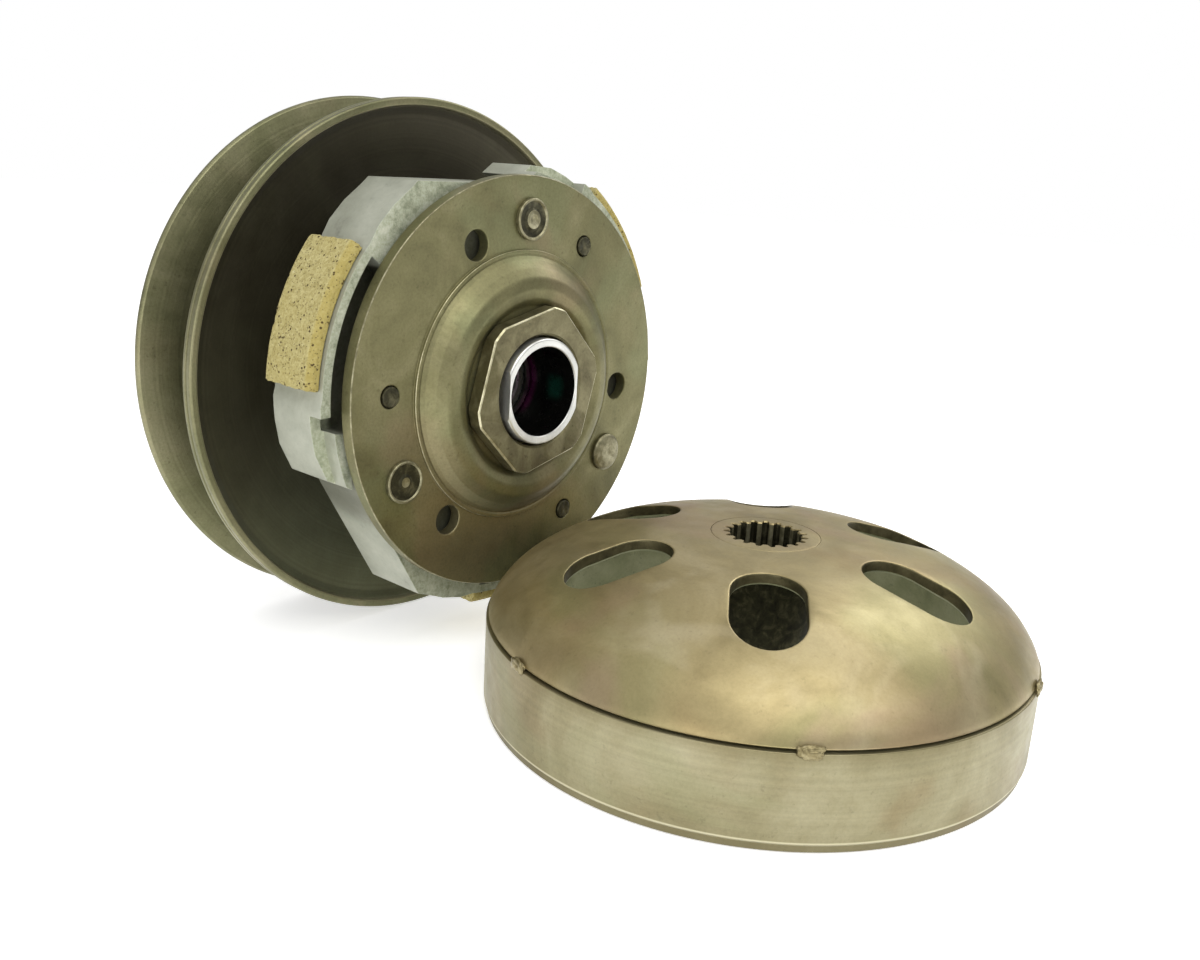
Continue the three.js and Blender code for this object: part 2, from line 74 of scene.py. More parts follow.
# ------------------------------------------------------------------ materials
class Nodes:
    """A node tree with short calls."""

    def __init__(self, name):
        self.mat = bpy.data.materials.new(name)
        self.mat.use_nodes = True
        self.t = self.mat.node_tree
        self.bsdf = self.t.nodes["Principled BSDF"]
        self.co = self.t.nodes.new("ShaderNodeTexCoord").outputs["Object"]

    def new(self, kind, **inputs):
        n = self.t.nodes.new(kind)
        for k, v in inputs.items():
            self.put(n, k, v)
        return n

    def put(self, n, k, v):
        key = int(k[1:]) if k[0] == "i" and k[1:].isdigit() else k.replace("_", " ")
        if isinstance(v, bpy.types.NodeSocket):
            self.t.links.new(v, n.inputs[key])
        else:
            n.inputs[key].default_value = v

    def noise(self, scale, detail=4.0, rough=0.55, vector=None, distortion=0.0):
        n = self.new("ShaderNodeTexNoise", Vector=vector or self.co, Scale=scale, Detail=detail, Roughness=rough, Distortion=distortion)
        return n.outputs["Fac"]

    def voronoi(self, scale, vector=None, feature="F1", out="Distance"):
        n = self.t.nodes.new("ShaderNodeTexVoronoi")
        n.feature = feature
        self.put(n, "Vector", vector or self.co)
        self.put(n, "Scale", scale)
        return n.outputs[out]

    def scaled(self, v):
        n = self.t.nodes.new("ShaderNodeVectorMath")
        n.operation = "MULTIPLY"
        self.put(n, "i0", self.co)
        n.inputs[1].default_value = v
        return n.outputs[0]

    def ramp(self, fac, stops, mode="LINEAR"):
        n = self.t.nodes.new("ShaderNodeValToRGB")
        n.color_ramp.interpolation = mode
        e = n.color_ramp.elements
        while len(e) > len(stops):
            e.remove(e[-1])
        while len(e) < len(stops):
            e.new(1.0)
        for i, (at, c) in enumerate(stops):
            e[i].position = at
            e[i].color = (*c, 1.0) if not isinstance(c, (int, float)) else (c, c, c, 1.0)
        self.t.links.new(fac, n.inputs[0])
        return n.outputs[0]

    def mix(self, fac, a, b, mode="MIX"):
        n = self.t.nodes.new("ShaderNodeMix")
        n.data_type = "RGBA"
        n.blend_type = mode
        for sock, v in ((n.inputs[0], fac), (n.inputs[6], a), (n.inputs[7], b)):
            if isinstance(v, bpy.types.NodeSocket):
                self.t.links.new(v, sock)
            elif isinstance(v, (int, float)) and sock.type == "VALUE":
                sock.default_value = v
            else:
                sock.default_value = (*v, 1.0) if not isinstance(v, (int, float)) else (v, v, v, 1.0)
        return n.outputs[2]

    def math(self, op, a, b=0.0, clamp=False):
        n = self.t.nodes.new("ShaderNodeMath")
        n.operation = op
        n.use_clamp = clamp
        for i, v in enumerate((a, b)):
            if isinstance(v, bpy.types.NodeSocket):
                self.t.links.new(v, n.inputs[i])
            else:
                n.inputs[i].default_value = v
        return n.outputs[0]

    def remap(self, v, a, b, c=0.0, d=1.0, smooth=True):
        n = self.t.nodes.new("ShaderNodeMapRange")
        n.interpolation_type = "SMOOTHSTEP" if smooth else "LINEAR"
        for k, x in (("Value", v), ("From Min", a), ("From Max", b), ("To Min", c), ("To Max", d)):
            if isinstance(x, bpy.types.NodeSocket):
                self.t.links.new(x, n.inputs[k])
            else:
                n.inputs[k].default_value = x
        return n.outputs[0]

    def xyz(self, vector=None):
        n = self.t.nodes.new("ShaderNodeSeparateXYZ")
        self.t.links.new(vector or self.co, n.inputs[0])
        return n.outputs

    def radius(self, axis, centre=(0.0, 0.0)):
        """Distance from the object's own axis, in metres."""
        o = self.xyz()
        a, b = (o[1], o[2]) if axis == "x" else (o[0], o[1])
        a = self.math("SUBTRACT", a, centre[0] * MM)
        b = self.math("SUBTRACT", b, centre[1] * MM)
        s = self.math("ADD", self.math("MULTIPLY", a, a), self.math("MULTIPLY", b, b))
        return self.math("SQRT", s)

    def normal(self, i):
        """One part of the face's direction in the object's own axes."""
        n = self.t.nodes.new("ShaderNodeTexCoord")
        return self.xyz(n.outputs["Normal"])[i]

    def line(self, value, scale, detail=3.0):
        """Noise along one value only, as the marks of a turning tool are."""
        n = self.t.nodes.new("ShaderNodeTexNoise")
        n.noise_dimensions = "1D"
        self.t.links.new(self.math("MULTIPLY", value, scale), n.inputs["W"])
        n.inputs["Scale"].default_value = 1.0
        n.inputs["Detail"].default_value = detail
        return n.outputs["Fac"]

    def bump(self, height, distance, strength=1.0, normal=None):
        n = self.new("ShaderNodeBump", Height=height, Distance=distance, Strength=strength)
        if normal is not None:
            self.t.links.new(normal, n.inputs["Normal"])
        return n.outputs[0]

    def set(self, **inputs):
        for k, v in inputs.items():
            self.put(self.bsdf, k, v)
        return self


def steel(name, dark, mid, light, blotch=55.0, metallic=0.85, rough=(0.36, 0.5), turned=None, lines=2600.0, line_amount=0.12, speck=0.35, tint=None, grime=0.25, bump=0.00004):
    """Bare or phosphated steel: cloudy colour, small pits and specks, worn gloss, and turning marks round an axis."""
    n = Nodes(name)
    cloud = n.noise(blotch, 6.0, 0.6, distortion=0.6)
    col = n.ramp(cloud, [(0.3, dark), (0.5, mid), (0.72, light)])
    if tint:
        for colour, scale, low, high, amount, shift in tint:
            v = n.t.nodes.new("ShaderNodeVectorMath")
            v.operation = "ADD"
            n.t.links.new(n.co, v.inputs[0])
            v.inputs[1].default_value = (shift, shift * 0.7, shift * 1.3)
            m = n.remap(n.noise(scale, 3.0, 0.5, v.outputs[0], 0.8), low, high)
            col = n.mix(n.math("MULTIPLY", m, amount), col, colour)
    fine = n.noise(1500.0, 3.0, 0.7)
    col = n.mix(1.0, col, n.ramp(fine, [(0.3, 1.0 - speck * 0.5), (0.6, 1.0)]), "MULTIPLY")
    pits = n.ramp(n.noise(700.0, 2.0, 0.6), [(0.27, 1.0 - grime), (0.36, 1.0)])
    col = n.mix(1.0, col, pits, "MULTIPLY")
    height = n.mix(0.5, fine, n.noise(320.0, 4.0, 0.6))
    r = n.remap(n.noise(160.0, 5.0, 0.65), 0.3, 0.7, rough[0], rough[1], False)
    if turned:
        ring = n.line(n.radius(turned) if turned in "xz" else n.xyz()[2], lines)
        col = n.mix(1.0, col, n.ramp(ring, [(0.25, 1.0 - line_amount), (0.7, 1.0)]), "MULTIPLY")
        height = n.mix(0.6, height, ring)
    n.set(Base_Color=col, Metallic=metallic, Roughness=r, Normal=n.bump(height, bump))
    return n


def srgb(*c):
    return tuple((x / 255 / 12.92) if x <= 10 else ((x / 255 + 0.055) / 1.055) ** 2.4 for x in c)


# outer belt faces and rims of the sheaves
_n = steel("sheave_satin", srgb(106, 107, 76), srgb(133, 131, 98), srgb(156, 151, 120), 38.0, 0.8, (0.34, 0.5), "x", 1500.0, 0.14,
           tint=[(srgb(112, 116, 78), 26.0, 0.48, 0.68, 0.3, 0.3), (srgb(150, 136, 108), 34.0, 0.5, 0.7, 0.24, 0.9)])
_was = _n.bsdf.inputs["Base Color"].links[0].from_socket
# painted shade: the belt faces are darkened towards the bottom of the V groove, from 68.5 mm radius inwards
_groove_shade = _n.math("SUBTRACT", 1.0, _n.remap(_n.radius("x"), 0.0585, 0.0685))
_n.set(Base_Color=_n.mix(_n.math("MULTIPLY", _groove_shade, 0.42), _was, srgb(50, 50, 32)))
M_SHEAVE = _n.mat

# the hollow of the front sheave: dark, with painted light that lightens it low on the right
_n = Nodes("sheave_hollow")
_o = _n.xyz()
_r = _n.radius("x")
_cloud = _n.noise(36.0, 5.0, 0.6, distortion=0.5)
# painted light: the colour lightens towards the bottom and towards the right
_painted_light_slope = _n.math("ADD", _n.math("MULTIPLY", _o[2], -9.0), _n.math("MULTIPLY", _o[1], 3.0))
_painted_light_mask = _n.math("ADD", _n.math("MULTIPLY", _cloud, 0.35), _n.math("ADD", _painted_light_slope, 0.25))
_dark = _n.ramp(_n.math("ADD", _n.math("MULTIPLY", _cloud, 0.4), _n.math("MULTIPLY", _painted_light_mask, 0.55)),
                [(0.15, srgb(62, 58, 42)), (0.4, srgb(78, 76, 55)), (0.7, srgb(104, 106, 80)), (1.0, srgb(132, 134, 106))])
_lip = _n.remap(_r, 0.0676, 0.0684)
_col = _n.mix(_lip, _dark, _n.ramp(_cloud, [(0.3, srgb(136, 132, 100)), (0.7, srgb(168, 162, 128))]))
_fine = _n.noise(1300.0, 3.0, 0.7)
_ring = _n.line(_r, 1400.0)
_col = _n.mix(1.0, _col, _n.ramp(_n.mix(0.5, _fine, _ring), [(0.25, 0.78), (0.65, 1.0)]), "MULTIPLY")
_dust = _n.ramp(_n.voronoi(260.0), [(0.0, 1.0), (0.05, 0.0)])
_rare = _n.ramp(_n.noise(70.0, 1.0), [(0.62, 0.0), (0.68, 1.0)])
_col = _n.mix(_n.math("MULTIPLY", _n.math("MULTIPLY", _dust, _rare), 0.6), _col, srgb(180, 176, 160))
_n.set(Base_Color=_col, Metallic=0.62, Roughness=_n.remap(_n.noise(150.0, 4.0), 0.3, 0.7, 0.4, 0.54, False),
       Normal=_n.bump(_n.mix(0.6, _fine, _ring), 0.00004))
M_HOLLOW = _n.mat

# clutch plate
_n = steel("plate_satin", srgb(106, 103, 72), srgb(123, 119, 84), srgb(142, 137, 102), 60.0, 0.82, (0.36, 0.5), None,
           tint=[(srgb(124, 128, 92), 30.0, 0.5, 0.64, 0.45, 0.2), (srgb(146, 128, 100), 24.0, 0.52, 0.66, 0.4, 0.7)], grime=0.2)
M_PLATE = _n.mat

# nut: darker, with a stained face
_n = steel("nut_satin", srgb(92, 86, 62), srgb(124, 118, 88), srgb(142, 136, 104), 120.0, 0.82, (0.34, 0.48), None,
           tint=[(srgb(84, 78, 48), 90.0, 0.56, 0.68, 0.6, 0.4)], grime=0.35)
M_NUT = _n.mat

# pins and studs: dark oxide with worn ends
_n = steel("pin_dark", srgb(34, 33, 22), srgb(62, 60, 42), srgb(104, 100, 76), 420.0, 0.75, (0.36, 0.55), None, grime=0.4)
M_PIN = _n.mat
# worn bright steel: the real worn pin ends, and also a painted highlight on the plate's front edge
_n = steel("pin_worn_and_highlight", srgb(104, 100, 76), srgb(138, 133, 104), srgb(172, 168, 140), 380.0, 0.82, (0.32, 0.48), None, grime=0.25)
M_WORN_AND_HIGHLIGHT = _n.mat
# bright edge finish: a painted highlight on chamfers and edge fillets
_n = steel("edge_highlight", srgb(156, 151, 118), srgb(196, 190, 156), srgb(226, 220, 190), 380.0, 0.85, (0.28, 0.42), None, grime=0.2)
M_EDGE_HIGHLIGHT = _n.mat

# ground and turned bright steel
_n = steel("bright_ground", srgb(196, 196, 190), srgb(216, 216, 210), srgb(232, 232, 226), 90.0, 0.88, (0.26, 0.38), "x", 3800.0, 0.08, 0.12, grime=0.08)
M_BRIGHT = _n.mat

# bore of the hub tube: near black, with faint purple and green patches of painted reflection
_n = Nodes("bore_near_black")
_o = _n.xyz()
_cl = _n.noise(70.0, 4.0, 0.6)
_col = _n.ramp(_cl, [(0.3, srgb(16, 16, 15)), (0.7, srgb(34, 34, 31))])
# painted reflection: a purple patch deep inside the bore on one side
_purple_reflection = _n.math("MULTIPLY", _n.remap(_o[1], 0.006, 0.0105), _n.math("SUBTRACT", 1.0, _n.remap(_o[0], 0.0305, 0.0335)))
_purple_reflection = _n.math("MULTIPLY", _purple_reflection, _n.remap(_o[0], 0.02, 0.025))
_col = _n.mix(_n.math("MULTIPLY", _purple_reflection, 0.65), _col, srgb(150, 48, 124))
# painted reflection: a green patch inside the bore near the nose
_green_reflection = _n.math("MULTIPLY", _n.remap(_o[1], 0.006, 0.011), _n.math("SUBTRACT", 1.0, _n.remap(_n.math("ABSOLUTE", _n.math("ADD", _o[2], 0.001)), 0.001, 0.0042)))
_green_reflection = _n.math("MULTIPLY", _green_reflection, _n.math("SUBTRACT", 1.0, _n.remap(_n.math("ABSOLUTE", _n.math("SUBTRACT", _o[0], 0.0395)), 0.0005, 0.004)))
_col = _n.mix(_n.math("MULTIPLY", _green_reflection, 0.6), _col, srgb(40, 118, 96))
_n.set(Base_Color=_col, Metallic=0.85, Roughness=_n.remap(_n.noise(240.0, 3.0), 0.3, 0.7, 0.22, 0.36, False),
       Normal=_n.bump(_n.line(_o[0], 2600.0), 0.00003))
M_BORE = _n.mat

# dark steel inside the unit
_n = steel("inner_steel", srgb(70, 68, 56), srgb(96, 93, 78), srgb(120, 116, 98), 90.0, 0.85, (0.34, 0.5), "x", 2200.0, 0.12)
M_INNER = _n.mat
_n = steel("spring_wire", srgb(58, 58, 54), srgb(86, 86, 80), srgb(116, 115, 106), 260.0, 0.85, (0.28, 0.42), None, grime=0.3)
M_WIRE = _n.mat

# bell, with clouds of heat colour
_TINT = [
    (srgb(142, 142, 98), 22.0, 0.47, 0.66, 0.38, 0.15),
    (srgb(168, 142, 120), 27.0, 0.5, 0.68, 0.42, 0.55),
    (srgb(142, 122, 84), 19.0, 0.5, 0.68, 0.5, 0.95),
    (srgb(200, 188, 158), 33.0, 0.54, 0.7, 0.4, 1.4),
]
_n = steel("bell_face_heat", srgb(138, 125, 88), srgb(160, 146, 106), srgb(180, 166, 128), 46.0, 0.8, (0.36, 0.5), None,
           tint=_TINT, speck=0.18, grime=0.12)
M_BELL = _n.mat
_n = steel("bell_ring_heat", srgb(122, 114, 82), srgb(147, 140, 108), srgb(170, 164, 134), 34.0, 0.78, (0.36, 0.5), "zz", 900.0, 0.1,
           tint=[(srgb(132, 112, 78), 24.0, 0.5, 0.68, 0.5, 0.4), (srgb(140, 140, 104), 30.0, 0.52, 0.66, 0.35, 0.8)], speck=0.2, grime=0.14)
_z = _n.xyz()[2]
_was = _n.bsdf.inputs["Base Color"].links[0].from_socket
_foot = _n.math("SUBTRACT", 1.0, _n.remap(_z, 0.00155, 0.00175))
_was = _n.mix(_n.math("MULTIPLY", _foot, 0.5), _was, srgb(92, 84, 58))
_lip = _n.math("MULTIPLY", _n.remap(_z, 0.0017, 0.0019), _n.math("SUBTRACT", 1.0, _n.remap(_z, 0.0024, 0.0027)))
_was = _n.mix(_n.math("MULTIPLY", _lip, 0.75), _was, srgb(206, 200, 170))
_high = _n.remap(_z, 0.0185, 0.0215)
_was = _n.mix(_n.math("MULTIPLY", _high, 0.35), _was, srgb(112, 102, 70))
_n.set(Base_Color=_was)
M_RING = _n.mat
_n = steel("weld_metal", srgb(96, 86, 56), srgb(138, 127, 92), srgb(172, 162, 126), 520.0, 0.8, (0.34, 0.52), None, grime=0.35, bump=0.00008)
M_WELD = _n.mat
_n = steel("bell_inside", srgb(108, 110, 80), srgb(136, 138, 104), srgb(158, 158, 126), 60.0, 0.7, (0.4, 0.55), None, speck=0.2)
M_INSIDE = _n.mat
_n = steel("slot_wall", srgb(62, 58, 38), srgb(88, 82, 56), srgb(112, 105, 76), 200.0, 0.75, (0.38, 0.54), None, grime=0.3)
M_SLOT = _n.mat

# cast aluminium: pale sides, rough green-grey front faces
_n = Nodes("cast_aluminium")
_front = _n.remap(_n.normal(0), 0.45, 0.85)
_cl = _n.noise(70.0, 5.0, 0.6)
_gr = _n.noise(900.0, 4.0, 0.75)
_side = _n.ramp(_cl, [(0.3, srgb(148, 150, 134)), (0.6, srgb(176, 178, 162)), (0.8, srgb(196, 198, 184))])
_side = _n.mix(1.0, _side, _n.ramp(_gr, [(0.25, 0.88), (0.5, 1.0)]), "MULTIPLY")
_face = _n.ramp(_n.mix(0.5, _n.noise(260.0, 5.0, 0.7), _gr), [(0.32, srgb(128, 136, 110)), (0.5, srgb(172, 177, 152)), (0.68, srgb(206, 209, 186))])
_deep = _n.remap(_n.xyz()[0], 0.0318, 0.0296)
_flat = _n.ramp(_n.mix(0.5, _n.noise(200.0, 5.0, 0.7), _gr), [(0.36, srgb(128, 134, 110)), (0.52, srgb(172, 176, 154)), (0.66, srgb(198, 200, 182))])
_col = _n.mix(_front, _side, _n.mix(_deep, _flat, _face))
_stain = _n.ramp(_n.noise(120.0, 4.0, 0.7), [(0.26, 0.72), (0.38, 1.0)])
_col = _n.mix(1.0, _col, _stain, "MULTIPLY")
# painted shade: the shoes are darkened inside about 50 mm radius, behind the clutch plate
_behind_plate_shade = _n.math("SUBTRACT", 1.0, _n.remap(_n.radius("x"), 0.0495, 0.0515))
_col = _n.mix(_n.math("MULTIPLY", _behind_plate_shade, 0.86), _col, srgb(58, 56, 38))
_h = _n.mix(_front, _n.mix(0.5, _gr, _n.noise(240.0, 3.0)), _n.noise(420.0, 5.0, 0.8))
_n.set(Base_Color=_col, Metallic=0.45, Roughness=_n.remap(_front, 0.0, 1.0, 0.46, 0.66, False), Normal=_n.bump(_h, 0.00012, 0.8))
M_CAST = _n.mat

# friction lining: pressed grains with dark crumbs
_n = Nodes("friction_lining")
_front = _n.remap(_n.normal(0), 0.25, 0.7)
_g1 = _n.noise(620.0, 5.0, 0.75)
_g2 = _n.noise(1700.0, 3.0, 0.7)
_col = _n.ramp(_n.mix(0.5, _g1, _g2), [(0.3, srgb(122, 110, 64)), (0.45, srgb(158, 147, 96)), (0.6, srgb(182, 172, 122)), (0.75, srgb(206, 200, 160))])
_warm = _n.ramp(_n.noise(90.0, 3.0), [(0.4, 0.0), (0.7, 1.0)])
_col = _n.mix(_n.math("MULTIPLY", _warm, 0.3), _col, srgb(162, 148, 86))
_col = _n.mix(_n.math("MULTIPLY", _front, 0.55), _col, srgb(150, 134, 66))
_cell = _n.voronoi(940.0)
_pick = _n.ramp(_n.noise(430.0, 2.0), [(0.52, 0.0), (0.56, 1.0)])
_crumb = _n.math("MULTIPLY", _n.ramp(_cell, [(0.2, 1.0), (0.32, 0.0)]), _pick)
_cell2 = _n.voronoi(1500.0)
_pick2 = _n.ramp(_n.noise(700.0, 2.0), [(0.42, 0.0), (0.5, 1.0)])
_crumb2 = _n.math("MULTIPLY", _n.ramp(_cell2, [(0.16, 1.0), (0.3, 0.0)]), _pick2)
_all = _n.math("MAXIMUM", _crumb, _n.math("MULTIPLY", _crumb2, 0.7))
_col = _n.mix(_all, _col, srgb(74, 60, 34))
_h = _n.math("SUBTRACT", _n.mix(0.5, _g1, _g2), _n.math("MULTIPLY", _all, 0.6))
_n.set(Base_Color=_col, Metallic=0.0, Roughness=_n.remap(_g1, 0.3, 0.7, 0.82, 0.95, False), Normal=_n.bump(_h, 0.00022, 0.9))
_n.bsdf.inputs["Specular IOR Level"].default_value = 0.25
M_LINING = _n.mat

# rubber
_n = Nodes("rubber_black")
_g = _n.noise(900.0, 4.0)
_n.set(Base_Color=_n.ramp(_g, [(0.3, srgb(20, 20, 19)), (0.7, srgb(44, 44, 42))]), Roughness=_n.remap(_g, 0.3, 0.7, 0.6, 0.8, False),
       Normal=_n.bump(_g, 0.00004))
M_RUBBER = _n.mat


# ------------------------------------------------------------------ mesh tools (millimetres, about the piece's own axis)
def fillet(points, closed=True, step=18.0):
    """Outline points (u, v) or (u, v, radius) with their corners rounded."""
    out, n = [], len(points)
    for i, p in enumerate(points):
        r = p[2] if len(p) > 2 else 0.0
        if r <= 0 or (not closed and i in (0, n - 1)):
            out.append((p[0], p[1]))
            continue
        a, b, c = Vector(points[i - 1][:2]), Vector(p[:2]), Vector(points[(i + 1) % n][:2])
        u, w = a - b, c - b
        lu, lw = u.length, w.length
        u.normalize()
        w.normalize()
        ang = math.acos(max(-1.0, min(1.0, u.dot(w))))
        if ang > math.pi - 0.02:
            out.append((p[0], p[1]))
            continue
        d = min(r / math.tan(ang / 2), lu * 0.48, lw * 0.48)
        rr = d * math.tan(ang / 2)
        cen = b + (u + w).normalized() * (rr / math.sin(ang / 2))
        s, e = b + u * d - cen, b + w * d - cen
        a0 = math.atan2(s.y, s.x)
        da = (math.atan2(e.y, e.x) - a0 + math.pi) % (2 * math.pi) - math.pi
        k = max(2, math.ceil(abs(math.degrees(da)) / step))
        out += [(cen.x + rr * math.cos(a0 + da * j / k), cen.y + rr * math.sin(a0 + da * j / k)) for j in range(k + 1)]
    return out


def strip(profile, seg, axis, closed=False, start=0.0):
    """Surface of revolution from (along, radius) points."""
    p = np.array(profile, float)
    a = np.arange(seg) * 2 * math.pi / seg + start
    c, s = np.cos(a), np.sin(a)
    m = len(p)
    v = np.zeros((m, seg, 3))
    if axis == "x":
        v[:, :, 0] = p[:, 0, None]
        v[:, :, 1] = p[:, 1, None] * c
        v[:, :, 2] = p[:, 1, None] * s
    else:
        v[:, :, 2] = p[:, 0, None]
        v[:, :, 0] = p[:, 1, None] * c
        v[:, :, 1] = p[:, 1, None] * s
    f = []
    for i in range(m if closed else m - 1):
        j = (i + 1) % m
        for k in range(seg):
            q = (k + 1) % seg
            f.append((i * seg + k, i * seg + q, j * seg + q, j * seg + k))
    return v.reshape(-1, 3), f


def join(*parts):
    vs, fs, base = [], [], 0
    for v, f in parts:
        v = np.asarray(v, float).reshape(-1, 3)
        vs.append(v)
        fs += [tuple(i + base for i in q) for q in f]
        base += len(v)
    return np.concatenate(vs), fs


def inside(p, loop):
    x, y = p
    hit = False
    for (x0, y0), (x1, y1) in zip(loop, loop[1:] + loop[:1]):
        if (y0 > y) != (y1 > y) and x < (x1 - x0) * (y - y0) / (y1 - y0) + x0:
            hit = not hit
    return hit


def fill(outer, holes, extra=()):
    """Triangles between an outer loop and hole loops, with extra points inside. Returns points and triangles; the loops come first, in order."""
    pts, edges = [], []
    for loop in [outer, *holes]:
        b = len(pts)
        pts += [tuple(p) for p in loop]
        edges += [(b + i, b + (i + 1) % len(loop)) for i in range(len(loop))]
    b = len(pts)
    pts += [tuple(p) for p in extra]
    out = delaunay_2d_cdt([Vector(p) for p in pts], edges, [], 0, 1e-7)
    co = [tuple(v) for v in out[0]]
    tris = []
    o = [tuple(p) for p in outer]
    hs = [[tuple(p) for p in h] for h in holes]
    boxes = [(min(x for x, _ in h), min(y for _, y in h), max(x for x, _ in h), max(y for _, y in h)) for h in hs]
    for t in out[2]:
        c = (sum(co[i][0] for i in t) / 3, sum(co[i][1] for i in t) / 3)
        if not inside(c, o):
            continue
        if any(b[0] <= c[0] <= b[2] and b[1] <= c[1] <= b[3] and inside(c, h) for h, b in zip(hs, boxes)):
            continue
        tris.append(tuple(t))
    return co, tris


def make(name, part, origin, mat, body, nodes=(), sharp=32.0, weighted=True, merge=1e-6, hold=True):
    """A finished piece from vertices and faces in millimetres about origin."""
    v, f = part
    me = bpy.data.meshes.new(name)
    me.from_pydata((np.asarray(v, float) * MM).tolist(), [], f)
    bm = bmesh.new()
    bm.from_mesh(me)
    bmesh.ops.remove_doubles(bm, verts=bm.verts, dist=merge)
    bmesh.ops.dissolve_degenerate(bm, edges=bm.edges, dist=1e-7)
    bmesh.ops.recalc_face_normals(bm, faces=bm.faces)
    bm.to_mesh(me)
    bm.free()
    o = bpy.data.objects.new(name, me)
    bpy.context.scene.collection.objects.link(o)
    o.location = origin
    for m in mat if isinstance(mat, (list, tuple)) else [mat]:
        me.materials.append(m)
    smooth(o, sharp, weighted)
    if hold:
        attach(o, body)
    if nodes:
        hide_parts(*nodes)
    return o


def smooth(o, sharp=32.0, weighted=True):
    o.data.shade_smooth()
    o.data.set_sharp_from_angle(angle=rad(sharp))
    if weighted:
        w = o.modifiers.new("normals", "WEIGHTED_NORMAL")
        w.keep_sharp = True
        w.weight = 80


def raw(name, part):
    """A bare mesh object, used only while cutting."""
    v, f = part
    me = bpy.data.meshes.new(name)
    me.from_pydata((np.asarray(v, float) * MM).tolist(), [], f)
    bm = bmesh.new()
    bm.from_mesh(me)
    bmesh.ops.remove_doubles(bm, verts=bm.verts, dist=1e-6)
    bmesh.ops.recalc_face_normals(bm, faces=bm.faces)
    bm.to_mesh(me)
    bm.free()
    o = bpy.data.objects.new(name, me)
    bpy.context.scene.collection.objects.link(o)
    return o


def baked(o):
    """The object's mesh with its modifiers applied; the object is then removed."""
    dg = bpy.context.evaluated_depsgraph_get()
    me = bpy.data.meshes.new_from_object(o.evaluated_get(dg))
    v = np.array([x.co for x in me.vertices], float) / MM
    f = [tuple(p.vertices) for p in me.polygons]
    bpy.data.objects.remove(o)
    return v, f


def carve(part, cuts, unions=(), bevel=None, angle=35.0, segments=2):
    """part less the cuts plus the unions, with its sharp edges rounded."""
    o = raw("carve", part)
    tools = []
    for op, list_ in (("UNION", unions), ("DIFFERENCE", cuts)):
        for c in list_:
            t = raw("tool", c)
            t.hide_render = True
            tools.append(t)
            m = o.modifiers.new("b", "BOOLEAN")
            m.operation, m.solver, m.object = op, "EXACT", t
    v, f = baked(o)
    for t in tools:
        bpy.data.objects.remove(t)
    if bevel:
        o = raw("carve", (v, f))
        bm = bmesh.new()
        bm.from_mesh(o.data)
        bmesh.ops.dissolve_limit(bm, angle_limit=rad(0.6), verts=bm.verts, edges=bm.edges)
        bm.to_mesh(o.data)
        bm.free()
        b = o.modifiers.new("bev", "BEVEL")
        b.width, b.segments, b.limit_method, b.angle_limit = bevel * MM, segments, "ANGLE", rad(angle)
        b.use_clamp_overlap = True
        b.harden_normals = False
        v, f = baked(o)
    return v, f


def prism(outline, x0, x1, axis="x"):
    """Closed prism over an outline in the plane across the axis."""
    n = len(outline)
    v = []
    for x in (x0, x1):
        for a, b in outline:
            v.append((x, a, b) if axis == "x" else (a, b, x))
    f = [tuple(range(n)), tuple(range(2 * n - 1, n - 1, -1))]
    f += [(i, (i + 1) % n, n + (i + 1) % n, n + i) for i in range(n)]
    return np.array(v), f


def turned(v, deg):
    c, s = math.cos(rad(deg)), math.sin(rad(deg))
    v = np.asarray(v, float)
    return np.stack([v[:, 0], v[:, 1] * c - v[:, 2] * s, v[:, 1] * s + v[:, 2] * c], 1)


def moved(v, d):
    return np.asarray(v, float) + np.array(d, float)


def circle(cy, cz, r, n, start=0.0):
    return [(cy + r * math.cos(2 * math.pi * i / n + start), cz + r * math.sin(2 * math.pi * i / n + start)) for i in range(n)]


def arc(cy, cz, r, a0, a1, n):
    return [(cy + r * math.cos(rad(a0 + (a1 - a0) * i / n)), cz + r * math.sin(rad(a0 + (a1 - a0) * i / n))) for i in range(n + 1)]


def obround(p, q, r, n):
    a = math.degrees(math.atan2(q[1] - p[1], q[0] - p[0]))
    return arc(q[0], q[1], r, a - 90, a + 90, n) + arc(p[0], p[1], r, a + 90, a + 270, n)


def sweep(path, r, sides=10):
    """A round wire along a path, with closed ends."""
    p = np.asarray(path, float)
    t = np.gradient(p, axis=0)
    t /= np.linalg.norm(t, axis=1)[:, None]
    n = np.cross(t[0], [1.0, 0.0, 0.0])
    if np.linalg.norm(n) < 0.1:
        n = np.cross(t[0], [0.0, 1.0, 0.0])
    n /= np.linalg.norm(n)
    v = []
    for i in range(len(p)):
        n = n - t[i] * float(n @ t[i])
        n /= np.linalg.norm(n)
        b = np.cross(t[i], n)
        for k in range(sides):
            a = 2 * math.pi * k / sides
            v.append(p[i] + r * (math.cos(a) * n + math.sin(a) * b))
    m = len(p)
    f = [(i * sides + k, i * sides + (k + 1) % sides, (i + 1) * sides + (k + 1) % sides, (i + 1) * sides + k) for i in range(m - 1) for k in range(sides)]
    f += [tuple(range(sides)), tuple(range((m - 1) * sides, m * sides))]
    return np.array(v), f


# ------------------------------------------------------------------ sheaves
TAN = math.tan(rad(13))
RIM = 70.25


def x_mov(r):
    return -13.9 + TAN * (r - 26)


def x_fix(r):
    return -14.3 - TAN * (r - 26)


